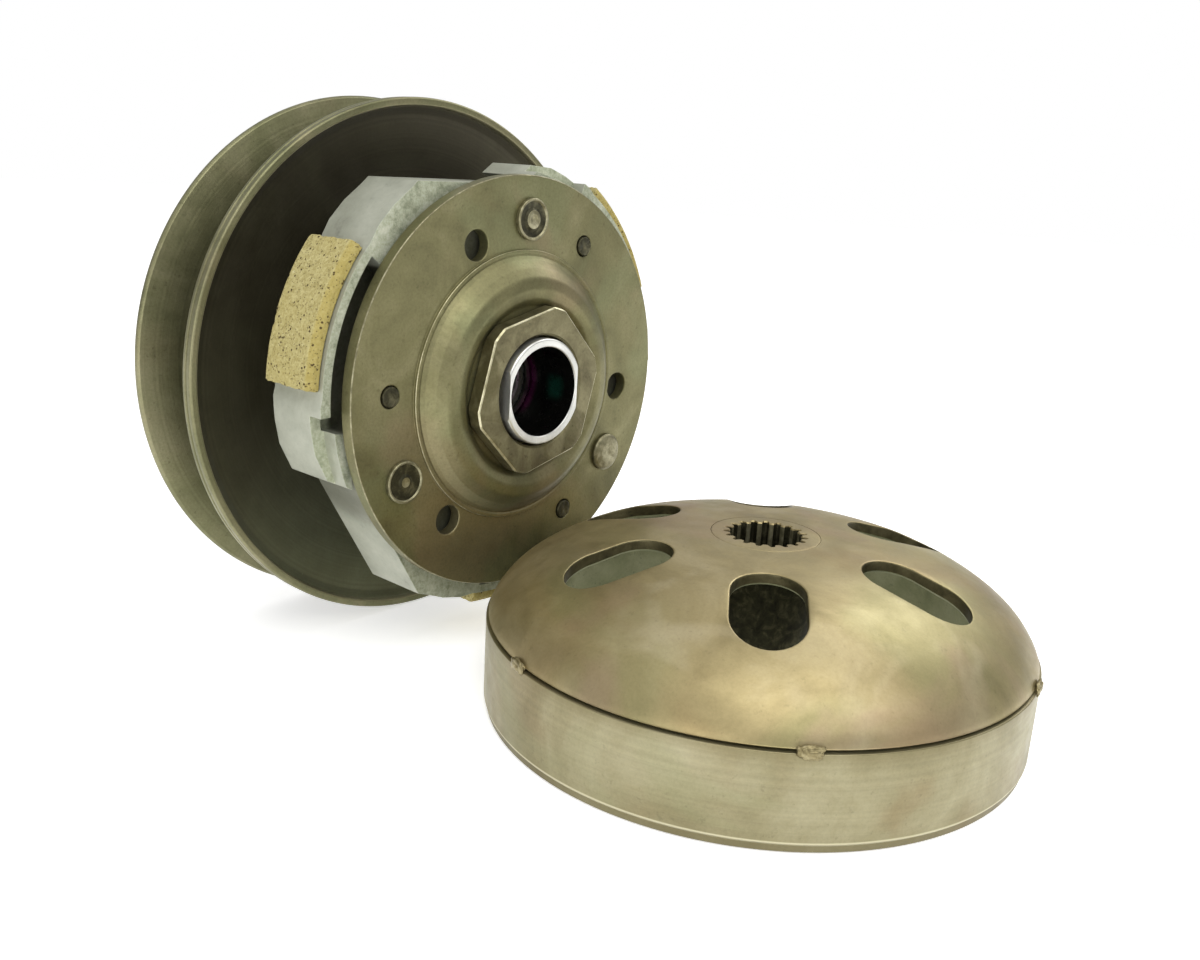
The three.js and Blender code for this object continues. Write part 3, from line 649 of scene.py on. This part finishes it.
SEG = 224
rear = fillet([
    (-14.3, 17.3, 0.3), (-14.3, 26, 1.5), (x_fix(69.8), 69.8, 0.6), (x_fix(RIM) - 0.6, RIM, 0.3), (x_fix(RIM) - 1.7, RIM, 0.45),
    (x_fix(RIM) - 1.7, 68.1, 0.4), (x_fix(66.5) - 2.3, 66.5, 1.5), (x_fix(31) - 2.6, 31, 2.5), (-22.4, 27.5, 1.2), (-22.4, 17.3, 0.4)])
make("rear_sheave", strip(rear, SEG, "x", True), PULLEY, M_SHEAVE, "pulley_core", ["fixed_face"])

front = fillet([
    (-13.9, 20.9, 0.3), (-13.9, 26, 1.5), (x_mov(69.9), 69.9, 0.5), (x_mov(RIM) + 0.5, RIM, 0.25),
    (-2.35, RIM, 0.15), (-2.15, RIM - 0.42, 0.12), (-1.8, RIM - 0.42, 0.12), (-1.6, RIM, 0.2),
    (-0.0, RIM, 0.65), (0.0, 68.3, 0.5), (-1.5, 67.9, 0.5), (x_mov(66) + 2.2, 66, 2.2), (x_mov(33.5) + 2.4, 33.5, 2.5), (-8.2, 30.2, 1.0), (-8.0, 20.9, 0.4)])
v, f = strip(front, SEG, "x", True)
o = make("front_sheave", (v, f), PULLEY, [M_SHEAVE, M_HOLLOW], "movable_sheave", ["movable_face"])
for p in o.data.polygons:
    c = p.center / MM
    r = math.hypot(c.y, c.z)
    if c.x > x_mov(r) + 0.9 and r < 68.6:
        p.material_index = 1

# ------------------------------------------------------------------ hub tube with its flatted nose
tube = fillet([
    (-24.2, 12.3, 0.3), (-24.2, 16.9, 0.6), (37.6, 17.0, 0.3), (37.6, 13.5, 0.2), (46.7, 13.5, 0.55), (46.7, 11.4, 0.35), (-7.4, 11.4, 0.2), (-7.4, 12.3)])
cuts = [prism([(s * 12.1, -16), (s * 20, -16), (s * 20, 16), (s * 12.1, 16)], 38.0, 49.0) for s in (-1, 1)]
nick = prism([(4.6, -14.2), (5.6, -14.2), (5.3, -12.7), (4.8, -12.8)], 46.0, 48.0)
part = carve(strip(tube, 144, "x", True), cuts + [nick], bevel=0.18, angle=50)
o = make("hub_sleeve_tube", part, PULLEY, [M_BRIGHT, M_BORE], "pulley_core", ["hub_tube"], sharp=30)
for p in o.data.polygons:
    c = p.center / MM
    if math.hypot(c.y, c.z) < 11.9 and c.x < 46.2:
        p.material_index = 1

# ------------------------------------------------------------------ clutch plate: pressed dome and flat flange with its holes
SEG_P = 240
R0, R1 = 34.95, 52.1
X0, X1 = 34.0, 37.4
dome = fillet([
    (38.0, 13.9), (41.0, 13.9, 0.3), (41.0, 21.0, 1.4), (42.4, 22.8, 2.2), (43.0, 25.2, 3.0), (42.5, 28.0, 3.0), (40.7, 30.4, 3.0), (38.7, 32.3, 1.6),
    (38.0, 33.3, 0.35), (38.25, 33.7, 0.2), (38.25, 34.55, 0.28), (37.4, 34.7, 0.12), (X1, R0)], closed=False)
edge = fillet([(X1, R1), (X1, 52.7, 0.4), (X0, 52.7, 0.3), (X0, R1)], closed=False)
back = fillet([(X0, R0), (X0, 31.8, 1.0), (38.3, 28.0, 2.0), (39.4, 24.8, 2.0), (38.0, 20.6, 1.0), (38.0, 13.9)], closed=False)
holes = []
for k in range(3):
    holes.append((*polar(39.1, 114 + 120 * k), 3.75, 40))
    holes.append((*polar(42.0, 87.3 + 120 * k), 4.35, 40))
    holes.append((*polar(41.5, 57.7 + 120 * k), 2.7, 32))
CH = [(0.0, 0.34), (0.04, 0.2), (0.14, 0.07), (0.32, 0.0)]  # rounded lip of a hole: (outwards, down)
outer = circle(0, 0, R1, SEG_P)
ring_in = circle(0, 0, R0, SEG_P)
lips = [circle(y, z, r + CH[-1][0], n) for y, z, r, n in holes]
extra = [(r * math.cos(a), r * math.sin(a)) for r in (38.5, 42.2, 46.0, 49.5) for a in np.arange(0, 2 * math.pi, rad(5)) if all(math.hypot(r * math.cos(a) - y, r * math.sin(a) - z) > rr + 0.8 for y, z, rr, _ in holes)]
co, tris = fill(outer, [ring_in, *lips], extra)
parts = [strip(dome, SEG_P, "x"), strip(edge, SEG_P, "x"), strip(back, SEG_P, "x")]
parts.append(([(X1, a, b) for a, b in co], tris))
parts.append(([(X0, a, b) for a, b in co], [t[::-1] for t in tris]))
for y, z, r, n in holes:
    prof = [(X1 - d, r + w) for w, d in CH[::-1]] + [(X0 + d, r + w) for w, d in CH]
    v, f = strip(prof, n, "x")
    parts.append((moved(v, (0, y, z)), f))
o = make("clutch_plate", join(*parts), PULLEY, [M_PLATE, M_EDGE_HIGHLIGHT, M_WORN_AND_HIGHLIGHT], "pulley_core", ["carrier_plate"], sharp=38, merge=8e-6)
for p in o.data.polygons:
    c = p.center / MM
    r = math.hypot(c.y, c.z)
    # painted highlight: the bright ring round the foot of the dome
    if 34.5 < r < 34.8 and c.x > 37.8 and p.normal.x > 0.2:
        p.material_index = 1
    # painted highlight: the front edge fillet of the flange gets the worn bright finish
    elif r > 52.3 and p.normal.x > 0.25 and c.x > 36.5:
        p.material_index = 2

# ------------------------------------------------------------------ nut
corner = []
for i in range(6):
    corner.append((*polar(19.5 / math.cos(math.pi / 6), 14 + 60 * i), 0.0))
hexa = [(a, b) for a, b, _ in corner]
turn = fillet([(41.3, 0.0), (41.3, 20.6, 0.0), (41.8, 21.4, 0.3), (45.1, 21.4, 0.2), (45.5, 21.0, 0.1), (45.5, 0.0)], closed=False)
v, f = strip(turn, 180, "x")
# cap both ends
levels = [(41.3, 0.985), (41.6, 1.0), (45.14, 1.0), (45.36, 0.994), (45.5, 0.98)]
nv = [(x, a * q, b * q) for x, q in levels for a, b in hexa]
nf = [tuple(range(5, -1, -1)), tuple(range(24, 30))] + [(6 * j + i, 6 * j + (i + 1) % 6, 6 * j + 6 + (i + 1) % 6, 6 * j + 6 + i) for j in range(4) for i in range(6)]
body_nut = raw("nut", (nv, nf))
tool = raw("nut_turn", (v, f))
m = body_nut.modifiers.new("b", "BOOLEAN")
m.operation, m.solver, m.object = "INTERSECT", "EXACT", tool
part = baked(body_nut)
bpy.data.objects.remove(tool)
bore = fillet([(40.0, 0.0), (40.0, 14.2), (44.95, 14.2), (45.6, 14.85), (47.0, 14.85), (47.0, 0.0)], closed=False)
part = carve(part, [strip(bore, 96, "x")])
o = make("clutch_nut", part, PULLEY, [M_NUT, M_EDGE_HIGHLIGHT], "pulley_core", ["hex_nut"], sharp=28)
# painted highlight: the front chamfer of the nut gets the bright edge finish
for p in o.data.polygons:
    c = p.center / MM
    if 0.2 < p.normal.x < 0.97 and math.hypot(c.y, c.z) > 17.5 and c.x > 45.1:
        p.material_index = 1

# ------------------------------------------------------------------ pivot pins and damper studs
HEADS = [
    # shouldered head, dark sunk ring, dimpled middle
    [(37.5, 5.2), (38.5, 5.25, 0.3), (38.75, 4.75, 0.2), (38.25, 4.35, 0.15), (38.05, 2.9, 0.2), (38.6, 2.2, 0.35), (38.7, 1.3, 0.3), (38.35, 0.6, 0.2), (38.3, 0.0)],
    [(37.5, 5.2), (38.35, 5.25, 0.3), (38.55, 4.8, 0.2), (38.15, 4.4, 0.15), (38.1, 2.0, 0.3), (38.4, 1.3, 0.3), (38.3, 0.5, 0.2), (38.25, 0.0)],
    [(37.5, 5.1), (38.2, 5.25, 0.3), (38.75, 4.5, 0.8), (39.0, 2.8, 1.5), (39.05, 0.9, 0.5), (38.95, 0.0)],
]
for k in range(3):
    y, z = polar(42.0, 87.3 + 120 * k)
    shank = [(11.6, 0.0), (11.6, 3.5), (12.0, 4.0), (12.4, 4.0), (12.4, 2.9), (13.6, 2.9), (13.6, 4.0), (37.3, 4.0)]
    v, f = strip(shank + fillet(HEADS[k], closed=False), 56, "x")
    origin = PULLEY + Vector((0, y, z)) * MM
    o = make("pivot_pin_head_%d" % (k + 1), (v, f), origin, [M_WORN_AND_HIGHLIGHT, M_PIN], "pulley_core", ["pivot_pin_%d" % (k + 1)], sharp=40)
    for p in o.data.polygons:
        c = p.center / MM
        r = math.hypot(c.y, c.z)
        if c.x < 37.4 or (k == 0 and 2.3 < r < 4.45) or (k == 1 and r < 4.5 and r > 0.9):
            p.material_index = 1
    y, z = polar(41.5, 57.7 + 120 * k)
    v, f = strip(fillet([(17.0, 0.0), (17.0, 2.5, 0.3), (37.5, 2.5, 0.0), (37.8, 2.25, 0.15), (37.75, 1.2, 0.0), (37.7, 0.6, 0.0), (37.72, 0.0)], closed=False), 40, "x")
    for q in v:
        if q[0] > 37.55:
            q[0] += 0.16 * (noise.noise(Vector((q[1] * 1.3 + 9 * k, q[2] * 1.3, k * 3.1))))
    o = make("damper_stud_end_%d" % (k + 1), (v, f), PULLEY + Vector((0, y, z)) * MM, M_PIN, "pulley_core", ["damper_stud_%d" % (k + 1)], sharp=45)

# ------------------------------------------------------------------ shoes
BY, BZ = polar(42.0, 87.3)
TABLE = 56.9
outline = (
    arc(BY, BZ, 8.3, -84, 90, 18)
    + [(-17, BZ + 8.3), (-30.4, BZ + 8.25), polar(58.3, 123.5), polar(58.2, 130), polar(57.8, 136), polar(TABLE, 140.2)]
    + arc(0, 0, TABLE, 142, 178, 18)
    + [polar(57.4, 180), polar(57.4, 183), polar(57.4, 186), polar(57.2, 192), polar(55.8, 199.5), polar(52.6, 203), polar(51.8, 200), polar(50.8, 196.5), polar(44, 192), polar(36, 190), polar(33.2, 187)]
    + arc(0, 0, 33.4, 180, 98, 28)
)
stud = polar(41.5, 177.7)
a = rad(3.6)
dy, dz = stud[0] - BY, stud[1] - BZ
swung = (BY + dy * math.cos(a) - dz * math.sin(a), BZ + dy * math.sin(a) + dz * math.cos(a))
POST_A, POST_B = polar(46, 187.5), polar(45, 104)
pocket = arc(0, 0, 54.6, 142.5, 186.5, 22) + [polar(50.5, 188), polar(38.5, 184)] + arc(0, 0, 37.3, 182, 147, 14) + [polar(41, 143)]
step_cut = arc(0, 0, 62, 182.5, 206, 6) + arc(0, 0, 54.0, 206, 182.5, 8)
cuts = [
    prism(circle(BY, BZ, 4.4, 40), 10, 36),
    prism(obround(stud, swung, 4.7, 12), 10, 36),
    prism(pocket, 25.5, 36),
    prism(step_cut, 28.6, 36),
]
posts = [prism(circle(p[0], p[1], r, 20), 7.0, 15.2) for p, r in ((POST_A, 1.5), (POST_B, 1.1))]
shoe_v, shoe_f = carve(prism(outline, 14.2, 32.8), cuts, posts, bevel=0.42, angle=38, segments=2)
for k in range(3):
    make("shoe_casting_%d" % (k + 1), (turned(shoe_v, 120 * k), shoe_f), PULLEY, M_CAST, "shoe_%d" % (k + 1), ["clutch_shoe_%d" % (k + 1)], sharp=34)


# ------------------------------------------------------------------ linings: a pressed block, rounded and chipped, bent to the table
def lining_block(seed):
    A0, A1, XA, XB, RA, RB = 142.0, 176.5, 15.2, 31.8, 57.05, 60.2
    mid = (A0 + A1) / 2
    L = rad(A1 - A0) * RB
    o = raw("block", prism([(-L / 2, 0), (L / 2, 0), (L / 2 - 0.2, RB - RA), (-L / 2 + 0.1, RB - RA)], XA, XB))
    # outline: a = length, b = thickness; prism axis = width
    b = o.modifiers.new("bev", "BEVEL")
    b.width, b.segments, b.limit_method = 0.3 * MM, 2, "NONE"
    r = o.modifiers.new("vox", "REMESH")
    r.mode, r.voxel_size, r.use_smooth_shade = "VOXEL", 0.34 * MM, True
    v, f = baked(o)
    out = []
    for x, s, h in v:
        t = (RB - RA)
        edge = min(L / 2 - abs(s), x - XA, XB - x)  # how near the outline of the worn face
        top = max(0.0, min(1.0, h / t))
        n1 = noise.fractal(Vector((x * 0.35 + seed, s * 0.35, h * 0.5)), 1.0, 2.0, 4)
        n2 = noise.fractal(Vector((x * 1.3 + seed, s * 1.3, h * 1.3)), 1.0, 2.0, 3)
        chip = max(0.0, noise.noise(Vector((x * 0.55 + 3 * seed, s * 0.55, seed))) - 0.12)
        near = max(0.0, 1.0 - edge / 0.9)
        dh = 0.05 * n1 + 0.05 * n2 - 0.9 * chip * near * top
        # the front edge is chamfered where the lining was cut
        front_in = max(0.0, 1.4 - (XB - x)) * top
        dh -= front_in * 0.85
        ds = 0.14 * n2 + 0.22 * n1
        if abs(s) > L / 2 - 0.8:
            s = s + ds * (1 if s > 0 else -1) - (0.5 * chip * (1 if s > 0 else -1))
        if x > XB - 0.5 or x < XA + 0.5:
            x = x + 0.1 * n2 - (0.12 if x > XB - 0.5 else -0.05)
        rr = min(RA + h + dh, RB)
        ang = rad(mid) + s / RB
        out.append((x, rr * math.cos(ang), rr * math.sin(ang)))
    return np.array(out), f


for k in range(3):
    v, f = lining_block(1.7 + 4.1 * k)
    make("lining_pad_%d" % (k + 1), (turned(v, 120 * k), f), PULLEY, M_LINING, "shoe_%d" % (k + 1), ["lining_%d" % (k + 1)], sharp=180, weighted=False)

# ------------------------------------------------------------------ springs
SPR0, SPR1, WIRE = -5.3, 31.9, 2.1


def contra(t):
    turns, end = 5.1, 1.0
    n = t * turns
    a, b = SPR0 + WIRE, SPR1 - WIRE
    closed = 2 * WIRE + 0.4
    pitch = (b - a - 2 * closed * end) / (turns - 2 * end)
    if n < end:
        x = a + closed * n
    elif n > turns - end:
        x = b - closed * (turns - n)
    else:
        x = a + closed * end + pitch * (n - end)
    f = 2 * math.pi * n
    return (x, 27.3 * math.cos(f), 27.3 * math.sin(f))


o = make("contra_spring_wire", sweep([contra(i / 300) for i in range(301)], 2.08, 16), PULLEY, M_WIRE, "pulley_core", ["contra_spring"], sharp=60, weighted=False)
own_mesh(o)

NEXT_B = polar(45, 224)
line = Vector((NEXT_B[0] - POST_A[0], NEXT_B[1] - POST_A[1]))
gap = line.length
u = np.array([0, line.x / gap, line.y / gap])
w = np.array([1.0, 0, 0])
vv = np.cross(w, u)
path = []
for i in range(22):  # eye on the free end's post
    a = rad(60 + (360 - 62) * i / 21)
    path.append((2.15 * math.cos(a), 2.15 * math.sin(a), 0.25 * i / 21))
turns, c0, c1, cr = 15, 4.4, gap - 4.4, 1.75
for i in range(turns * 14 + 1):
    t = i / (turns * 14)
    a = 2 * math.pi * turns * t
    path.append((c0 + (c1 - c0) * t, cr * math.sin(a) , cr * math.cos(a)))
for i in range(22):
    a = rad(178 - 62 - (360 - 62) * i / 21 + 64)
    path.append((gap + 2.5 * math.cos(a), 2.5 * math.sin(a), 0.3 - 0.3 * i / 21))
path = np.array(path)
place = np.array([9.0, POST_A[0], POST_A[1]])
spring_path = np.array([place + p[0] * u + p[1] * vv + p[2] * w for p in path])
for k in range(3):
    o = make("return_spring_coil_%d" % (k + 1), sweep(turned(spring_path, 120 * k), 0.52, 8), PULLEY, M_WIRE, "shoe_%d" % (k + 1),
             ["return_spring_%d" % (k + 1)], sharp=60, weighted=False, hold=False)
    a = turned([[9.0, *NEXT_B]], 120 * k)[0] * MM
    b = turned([[9.0, *POST_A]], 120 * k)[0] * MM
    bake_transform(o)

# ------------------------------------------------------------------ bell
OUT = [(13.0, 43.8), (19.0, 43.55), (25, 43.0), (30, 42.4), (35, 41.5), (40, 40.3), (45, 38.7), (49, 37.0), (53, 34.9), (56.5, 32.7), (59.5, 30.4), (61.8, 28.1), (63.6, 25.7), (64.7, 23.8), (65.3, 22.3)]


def spline(points, per=8):
    """Smooth curve through the points."""
    p = [Vector(q) for q in points]
    p = [2 * p[0] - p[1], *p, 2 * p[-1] - p[-2]]
    out = []
    for i in range(1, len(p) - 2):
        for j in range(per):
            t = j / per
            a, b, c, d = p[i - 1], p[i], p[i + 1], p[i + 2]
            out.append(0.5 * ((2 * b) + (c - a) * t + (2 * a - 5 * b + 4 * c - d) * t * t + (3 * b - a - 3 * c + d) * t ** 3))
    out.append(p[-2])
    return [(q.x, q.y) for q in out]


OUTER = spline(OUT)
_r, _z = np.array([q[0] for q in OUTER]), np.array([q[1] for q in OUTER])
INNER = spline([(13.0, 41.2), (22, 40.6), (30.0, 39.6), (37, 38.1), (43.6, 36.0), (50.5, 32.9), (57.2, 28.6), (60.6, 25.4), (62.6, 22.3)])
_ri, _zi = np.array([q[0] for q in INNER]), np.array([q[1] for q in INNER])


def top(r):
    return float(np.interp(r, _r, _z))


def under(r):
    return float(np.interp(r, _ri, _zi))


SEG_B = 240
RC = 54.6
LIP = [(0.0, 0.5), (0.03, 0.32), (0.13, 0.14), (0.3, 0.03), (0.5, 0.0)]
slots = []
for k in range(6):
    a = 5 + 60 * k
    p, q = polar(38.3 - 12.6 + 8.1, a), polar(38.3 + 12.6 - 8.1, a)
    slots.append((p, q))
outer = circle(0, 0, RC, SEG_B)
hub_ring = circle(0, 0, 13.15, 96)
LOOPS = []
for p, q in slots:
    LOOPS.append([obround(p, q, 8.1 + w_, 16) for w_, _ in LIP])
edge_loops = [l[-1] for l in LOOPS]
grid = []
for r in np.arange(14.6, RC - 0.8, 1.35):
    n = max(36, int(2 * math.pi * r / 1.5))
    for i in range(n):
        a = 2 * math.pi * (i + 0.5 * (int(r * 7) % 2)) / n
        x, y = r * math.cos(a), r * math.sin(a)
        ok = True
        for p, q in slots:
            ax, ay = q[0] - p[0], q[1] - p[1]
            t = max(0.0, min(1.0, ((x - p[0]) * ax + (y - p[1]) * ay) / (ax * ax + ay * ay)))
            if math.hypot(x - p[0] - t * ax, y - p[1] - t * ay) < 8.1 + 1.1:
                ok = False
                break
        if ok:
            grid.append((x, y))
co, tris = fill(outer, [hub_ring, *edge_loops], grid)
face_top = [(x, y, top(math.hypot(x, y))) for x, y in co]
face_low = [(x, y, under(math.hypot(x, y))) for x, y in co]
parts = [(face_top, tris), (face_low, [t[::-1] for t in tris])]
for loops in LOOPS:
    n = len(loops[0])
    rings = []
    for (w_, d_), l in list(zip(LIP, loops))[::-1]:
        rings.append([(x, y, top(math.hypot(x, y)) - d_) for x, y in l])
    for (w_, d_), l in zip(LIP, loops):
        rings.append([(x, y, under(math.hypot(x, y)) + d_) for x, y in l])
    vs = [q for r_ in rings for q in r_]
    fs = [(i * n + j, i * n + (j + 1) % n, (i + 1) * n + (j + 1) % n, (i + 1) * n + j) for i in range(len(rings) - 1) for j in range(n)]
    parts.append((vs, fs))
shoulder = [(top(RC), RC)] + [(z, r) for r, z in OUTER if r > RC + 0.2]
shoulder[-1] = (22.45, 65.28)
low_side = [(under(RC), RC)] + [(z, r) for r, z in INNER if r > RC + 0.2]
low_side[-1] = (22.4, 62.5)
rim_edge = [(22.3, 65.2), (22.26, 64.9), (22.26, 62.8)]
parts.append(strip(shoulder + rim_edge + low_side[::-1], SEG_B, "z"))
parts.append(strip([(43.8, 13.15), (41.2, 13.15)], 96, "z"))
v, f = join(*parts)
# pressing and scuffing leave the skin slightly uneven
v = np.array(v)
for q in v:
    r = math.hypot(q[0], q[1])
    if r > 16:
        q[2] += 0.05 * noise.noise(Vector((q[0] * 0.06, q[1] * 0.06, 1.7))) * min(1.0, (65.3 - r) / 6 if r < 65.3 else 0)
o = make("bell_dome", (v, f), BELL, [M_BELL, M_INSIDE, M_SLOT], "clutch_bell", ["bell_face"], sharp=40, merge=8e-6)
for p in o.data.polygons:
    c = p.center / MM
    r = math.hypot(c.x, c.y)
    if p.normal.z < -0.15 and c.z < top(min(r, 65)) - 1.2 and r < 64.0:
        p.material_index = 1
    elif abs(p.normal.z) < 0.7 and 20 < r < 52:
        p.material_index = 2

drum = fillet([
    (0.0, 62.2, 0.3), (0.0, 65.2, 0.4), (1.7, 65.3, 0.25), (2.25, 65.78, 0.25), (12.0, 65.8), (21.6, 65.8, 0.3), (21.7, 65.0, 0.1), (21.7, 62.3, 0.3), (2.2, 62.2, 0.3)])
o = make("bell_drum", strip(drum, SEG_B, "z", True), BELL, [M_RING, M_INSIDE], "clutch_bell", ["bell_ring"], sharp=40)
for p in o.data.polygons:
    c = p.center / MM
    if math.hypot(c.x, c.y) < 62.6:
        p.material_index = 1

# splined hub
tooth = []
for i in range(19):
    s = 360 / 19
    for off, r in ((-0.2, 8.62), (-0.1, 8.5), (0.1, 8.5), (0.2, 8.62), (0.3, 9.5), (0.37, 9.82), (0.5, 9.9), (0.63, 9.82), (0.7, 9.5)):
        tooth.append(polar(r, (i + off) * s))
wide = [(x * 1.03, y * 1.03) for x, y in tooth]
rim_o = circle(0, 0, 12.3, 96)
co, tris = fill(rim_o, [wide])
H = 43.9
parts = [([(x, y, H) for x, y in co], tris), ([(x, y, 13.0) for x, y in co], [t[::-1] for t in tris])]
n = len(tooth)
vs = [(x, y, H) for x, y in wide] + [(x, y, H - 0.35) for x, y in tooth] + [(x, y, 13.35) for x, y in tooth] + [(x, y, 13.0) for x, y in wide]
parts.append((vs, [(i * n + j, i * n + (j + 1) % n, (i + 1) * n + (j + 1) % n, (i + 1) * n + j) for i in range(3) for j in range(n)]))
parts.append(strip(fillet([(13.0, 12.3), (13.0, 13.0, 0.4), (13.6, 13.2, 0.2), (40.9, 13.2, 0.2), (41.0, 13.05, 0.05), (43.78, 13.05, 0.1), (H, 12.3)], closed=False), 96, "z"))
o = make("bell_spline_hub", join(*parts), BELL, [M_BELL, M_PIN, M_WORN_AND_HIGHLIGHT], "clutch_bell", ["bell_hub"], sharp=34, merge=4e-6)
for p in o.data.polygons:
    c = p.center / MM
    r = math.hypot(c.x, c.y)
    if c.z < 41.0 and r > 10.5:
        p.material_index = 1
    elif r < 10.1 and c.z < H - 0.4:
        p.material_index = 2 if r < 8.9 else 1

# weld beads
for k in range(6):
    bm = bmesh.new()
    bmesh.ops.create_icosphere(bm, subdivisions=4, radius=1.0)
    for q in bm.verts:
        d = q.co.normalized()
        h = 1 + 0.3 * noise.fractal(d * 1.5 + Vector((k * 3.7, 0.3, 1.1)), 1.0, 2.0, 2) + 0.12 * noise.noise(d * 3.6 + Vector((k, k, 2.0)))
        e_ = [math.copysign(abs(t_) ** 0.72, t_) for t_ in (d.y, d.z)]
        q.co = Vector((d.x * 0.72, e_[0] * 2.7, e_[1] * 1.5)) * h
    v = np.array([q.co[:] for q in bm.verts])
    f = [tuple(x.index for x in p.verts) for p in bm.faces]
    bm.free()
    v = moved(v, (65.75, 0, 22.0))
    a = rad(12.8 + 60 * k)
    c, s = math.cos(a), math.sin(a)
    v = np.stack([v[:, 0] * c - v[:, 1] * s, v[:, 0] * s + v[:, 1] * c, v[:, 2]], 1)
    make("seam_weld_%d" % (k + 1), (v, f), BELL, M_WELD, "clutch_bell", ["weld_bead_%d" % (k + 1)], sharp=180, weighted=False)

# ------------------------------------------------------------------ finishes of the CAD pieces that stay as they are
FINISH = {
    "movable_sleeve": M_BRIGHT, "needle_bearing": M_BRIGHT, "bearing_outer_race": M_BRIGHT, "bearing_cage": M_INNER, "bearing_inner_race": M_BRIGHT,
    "spring_seat": M_BRIGHT, "seal_collar": M_INNER, "circlip": M_WIRE, "oil_seal": M_RUBBER, "o_ring_front": M_RUBBER, "o_ring_rear": M_RUBBER,
}
for k in "123":
    FINISH["guide_pin_" + k] = M_BRIGHT
    FINISH["guide_roller_" + k] = M_BRIGHT
    FINISH["e_clip_" + k] = M_WIRE
    FINISH["damper_rubber_" + k] = M_RUBBER
for name, m in FINISH.items():
    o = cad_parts[name]
    o.data.materials.clear()
    o.data.materials.append(m)
    o.data.shade_smooth()
    o.data.set_sharp_from_angle(angle=rad(30))

# ------------------------------------------------------------------ floor, light, camera
bpy.ops.mesh.primitive_circle_add(vertices=96, radius=3.0, fill_type="NGON", location=(0, 0, -0.0002))
floor = bpy.context.object
floor.name = "floor"
_n = Nodes("floor_paper")
_n.set(Base_Color=_n.ramp(_n.noise(3.0, 2.0), [(0.3, (0.93, 0.93, 0.93)), (0.7, (0.95, 0.95, 0.95))]), Roughness=0.9)
_n.bsdf.inputs["Emission Color"].default_value = (1, 1, 1, 1)
_n.bsdf.inputs["Emission Strength"].default_value = 0.5
floor.data.materials.append(_n.mat)

world = bpy.data.worlds.new("studio")
bpy.context.scene.world = world
world.use_nodes = True
t = world.node_tree
bg = t.nodes["Background"]
path_node = t.nodes.new("ShaderNodeLightPath")
coord = t.nodes.new("ShaderNodeTexCoord")
sep = t.nodes.new("ShaderNodeSeparateXYZ")
t.links.new(coord.outputs["Generated"], sep.inputs[0])
ramp = t.nodes.new("ShaderNodeValToRGB")
e = ramp.color_ramp.elements
e[0].position, e[0].color = 0.0, (0.5, 0.5, 0.5, 1)
e[1].position, e[1].color = 1.0, (0.82, 0.82, 0.82, 1)
mid = e.new(0.5)
mid.color = (0.36, 0.36, 0.36, 1)
half = t.nodes.new("ShaderNodeMath")
half.operation = "MULTIPLY_ADD"
half.inputs[1].default_value = 0.5
half.inputs[2].default_value = 0.5
t.links.new(sep.outputs[2], half.inputs[0])
t.links.new(half.outputs[0], ramp.inputs[0])
mixc = t.nodes.new("ShaderNodeMix")
mixc.data_type = "RGBA"
t.links.new(path_node.outputs["Is Camera Ray"], mixc.inputs[0])
t.links.new(ramp.outputs[0], mixc.inputs[6])
mixc.inputs[7].default_value = (1, 1, 1, 1)
t.links.new(mixc.outputs[2], bg.inputs[0])
bg.inputs[1].default_value = 1.0


def area(name, at, to, size, power, colour=(1, 1, 1), size_y=None):
    l = bpy.data.lights.new(name, "AREA")
    l.energy, l.color = power, colour
    l.size = size
    if size_y:
        l.shape, l.size_y = "RECTANGLE", size_y
    o = bpy.data.objects.new(name, l)
    bpy.context.scene.collection.objects.link(o)
    o.location = at
    o.rotation_euler = (Vector(to) - Vector(at)).to_track_quat("-Z", "Y").to_euler()
    return o


area("key", (0.38, -0.18, 0.72), (0.0, 0.0, 0.05), 0.75, 4.2)
area("left", (0.28, -0.9, 0.2), (-0.03, 0.0, 0.07), 0.3, 2.1, size_y=0.5)
area("back", (0.05, 0.7, 0.7), (0.0, 0.0, 0.05), 0.5, 2.6)

cam = bpy.data.cameras.new("camera")
cam.sensor_width = 36.0
cam.lens = 1145.845 / 1200 * 36
cam.shift_x = (600 - 605.32) / 1200
cam.shift_y = (476.07 - 480) / 1200
cam.clip_start, cam.clip_end = 0.01, 20
o = bpy.data.objects.new("camera", cam)
bpy.context.scene.collection.objects.link(o)
right = Vector((0.750535, 0.658143, 0.059546))
up = Vector((-0.217779, 0.161261, 0.962584))
fwd = Vector((-0.623915, 0.73542, -0.264362))
rot = Matrix((right, up, -fwd)).transposed()
o.matrix_world = Matrix.Translation((PULLEY.x + 0.243171, PULLEY.y - 0.205909, 0.127211)) @ rot.to_4x4()
bpy.context.scene.camera = o

bpy.context.scene.view_settings.view_transform = "Standard"
bpy.context.scene.view_settings.look = "None"
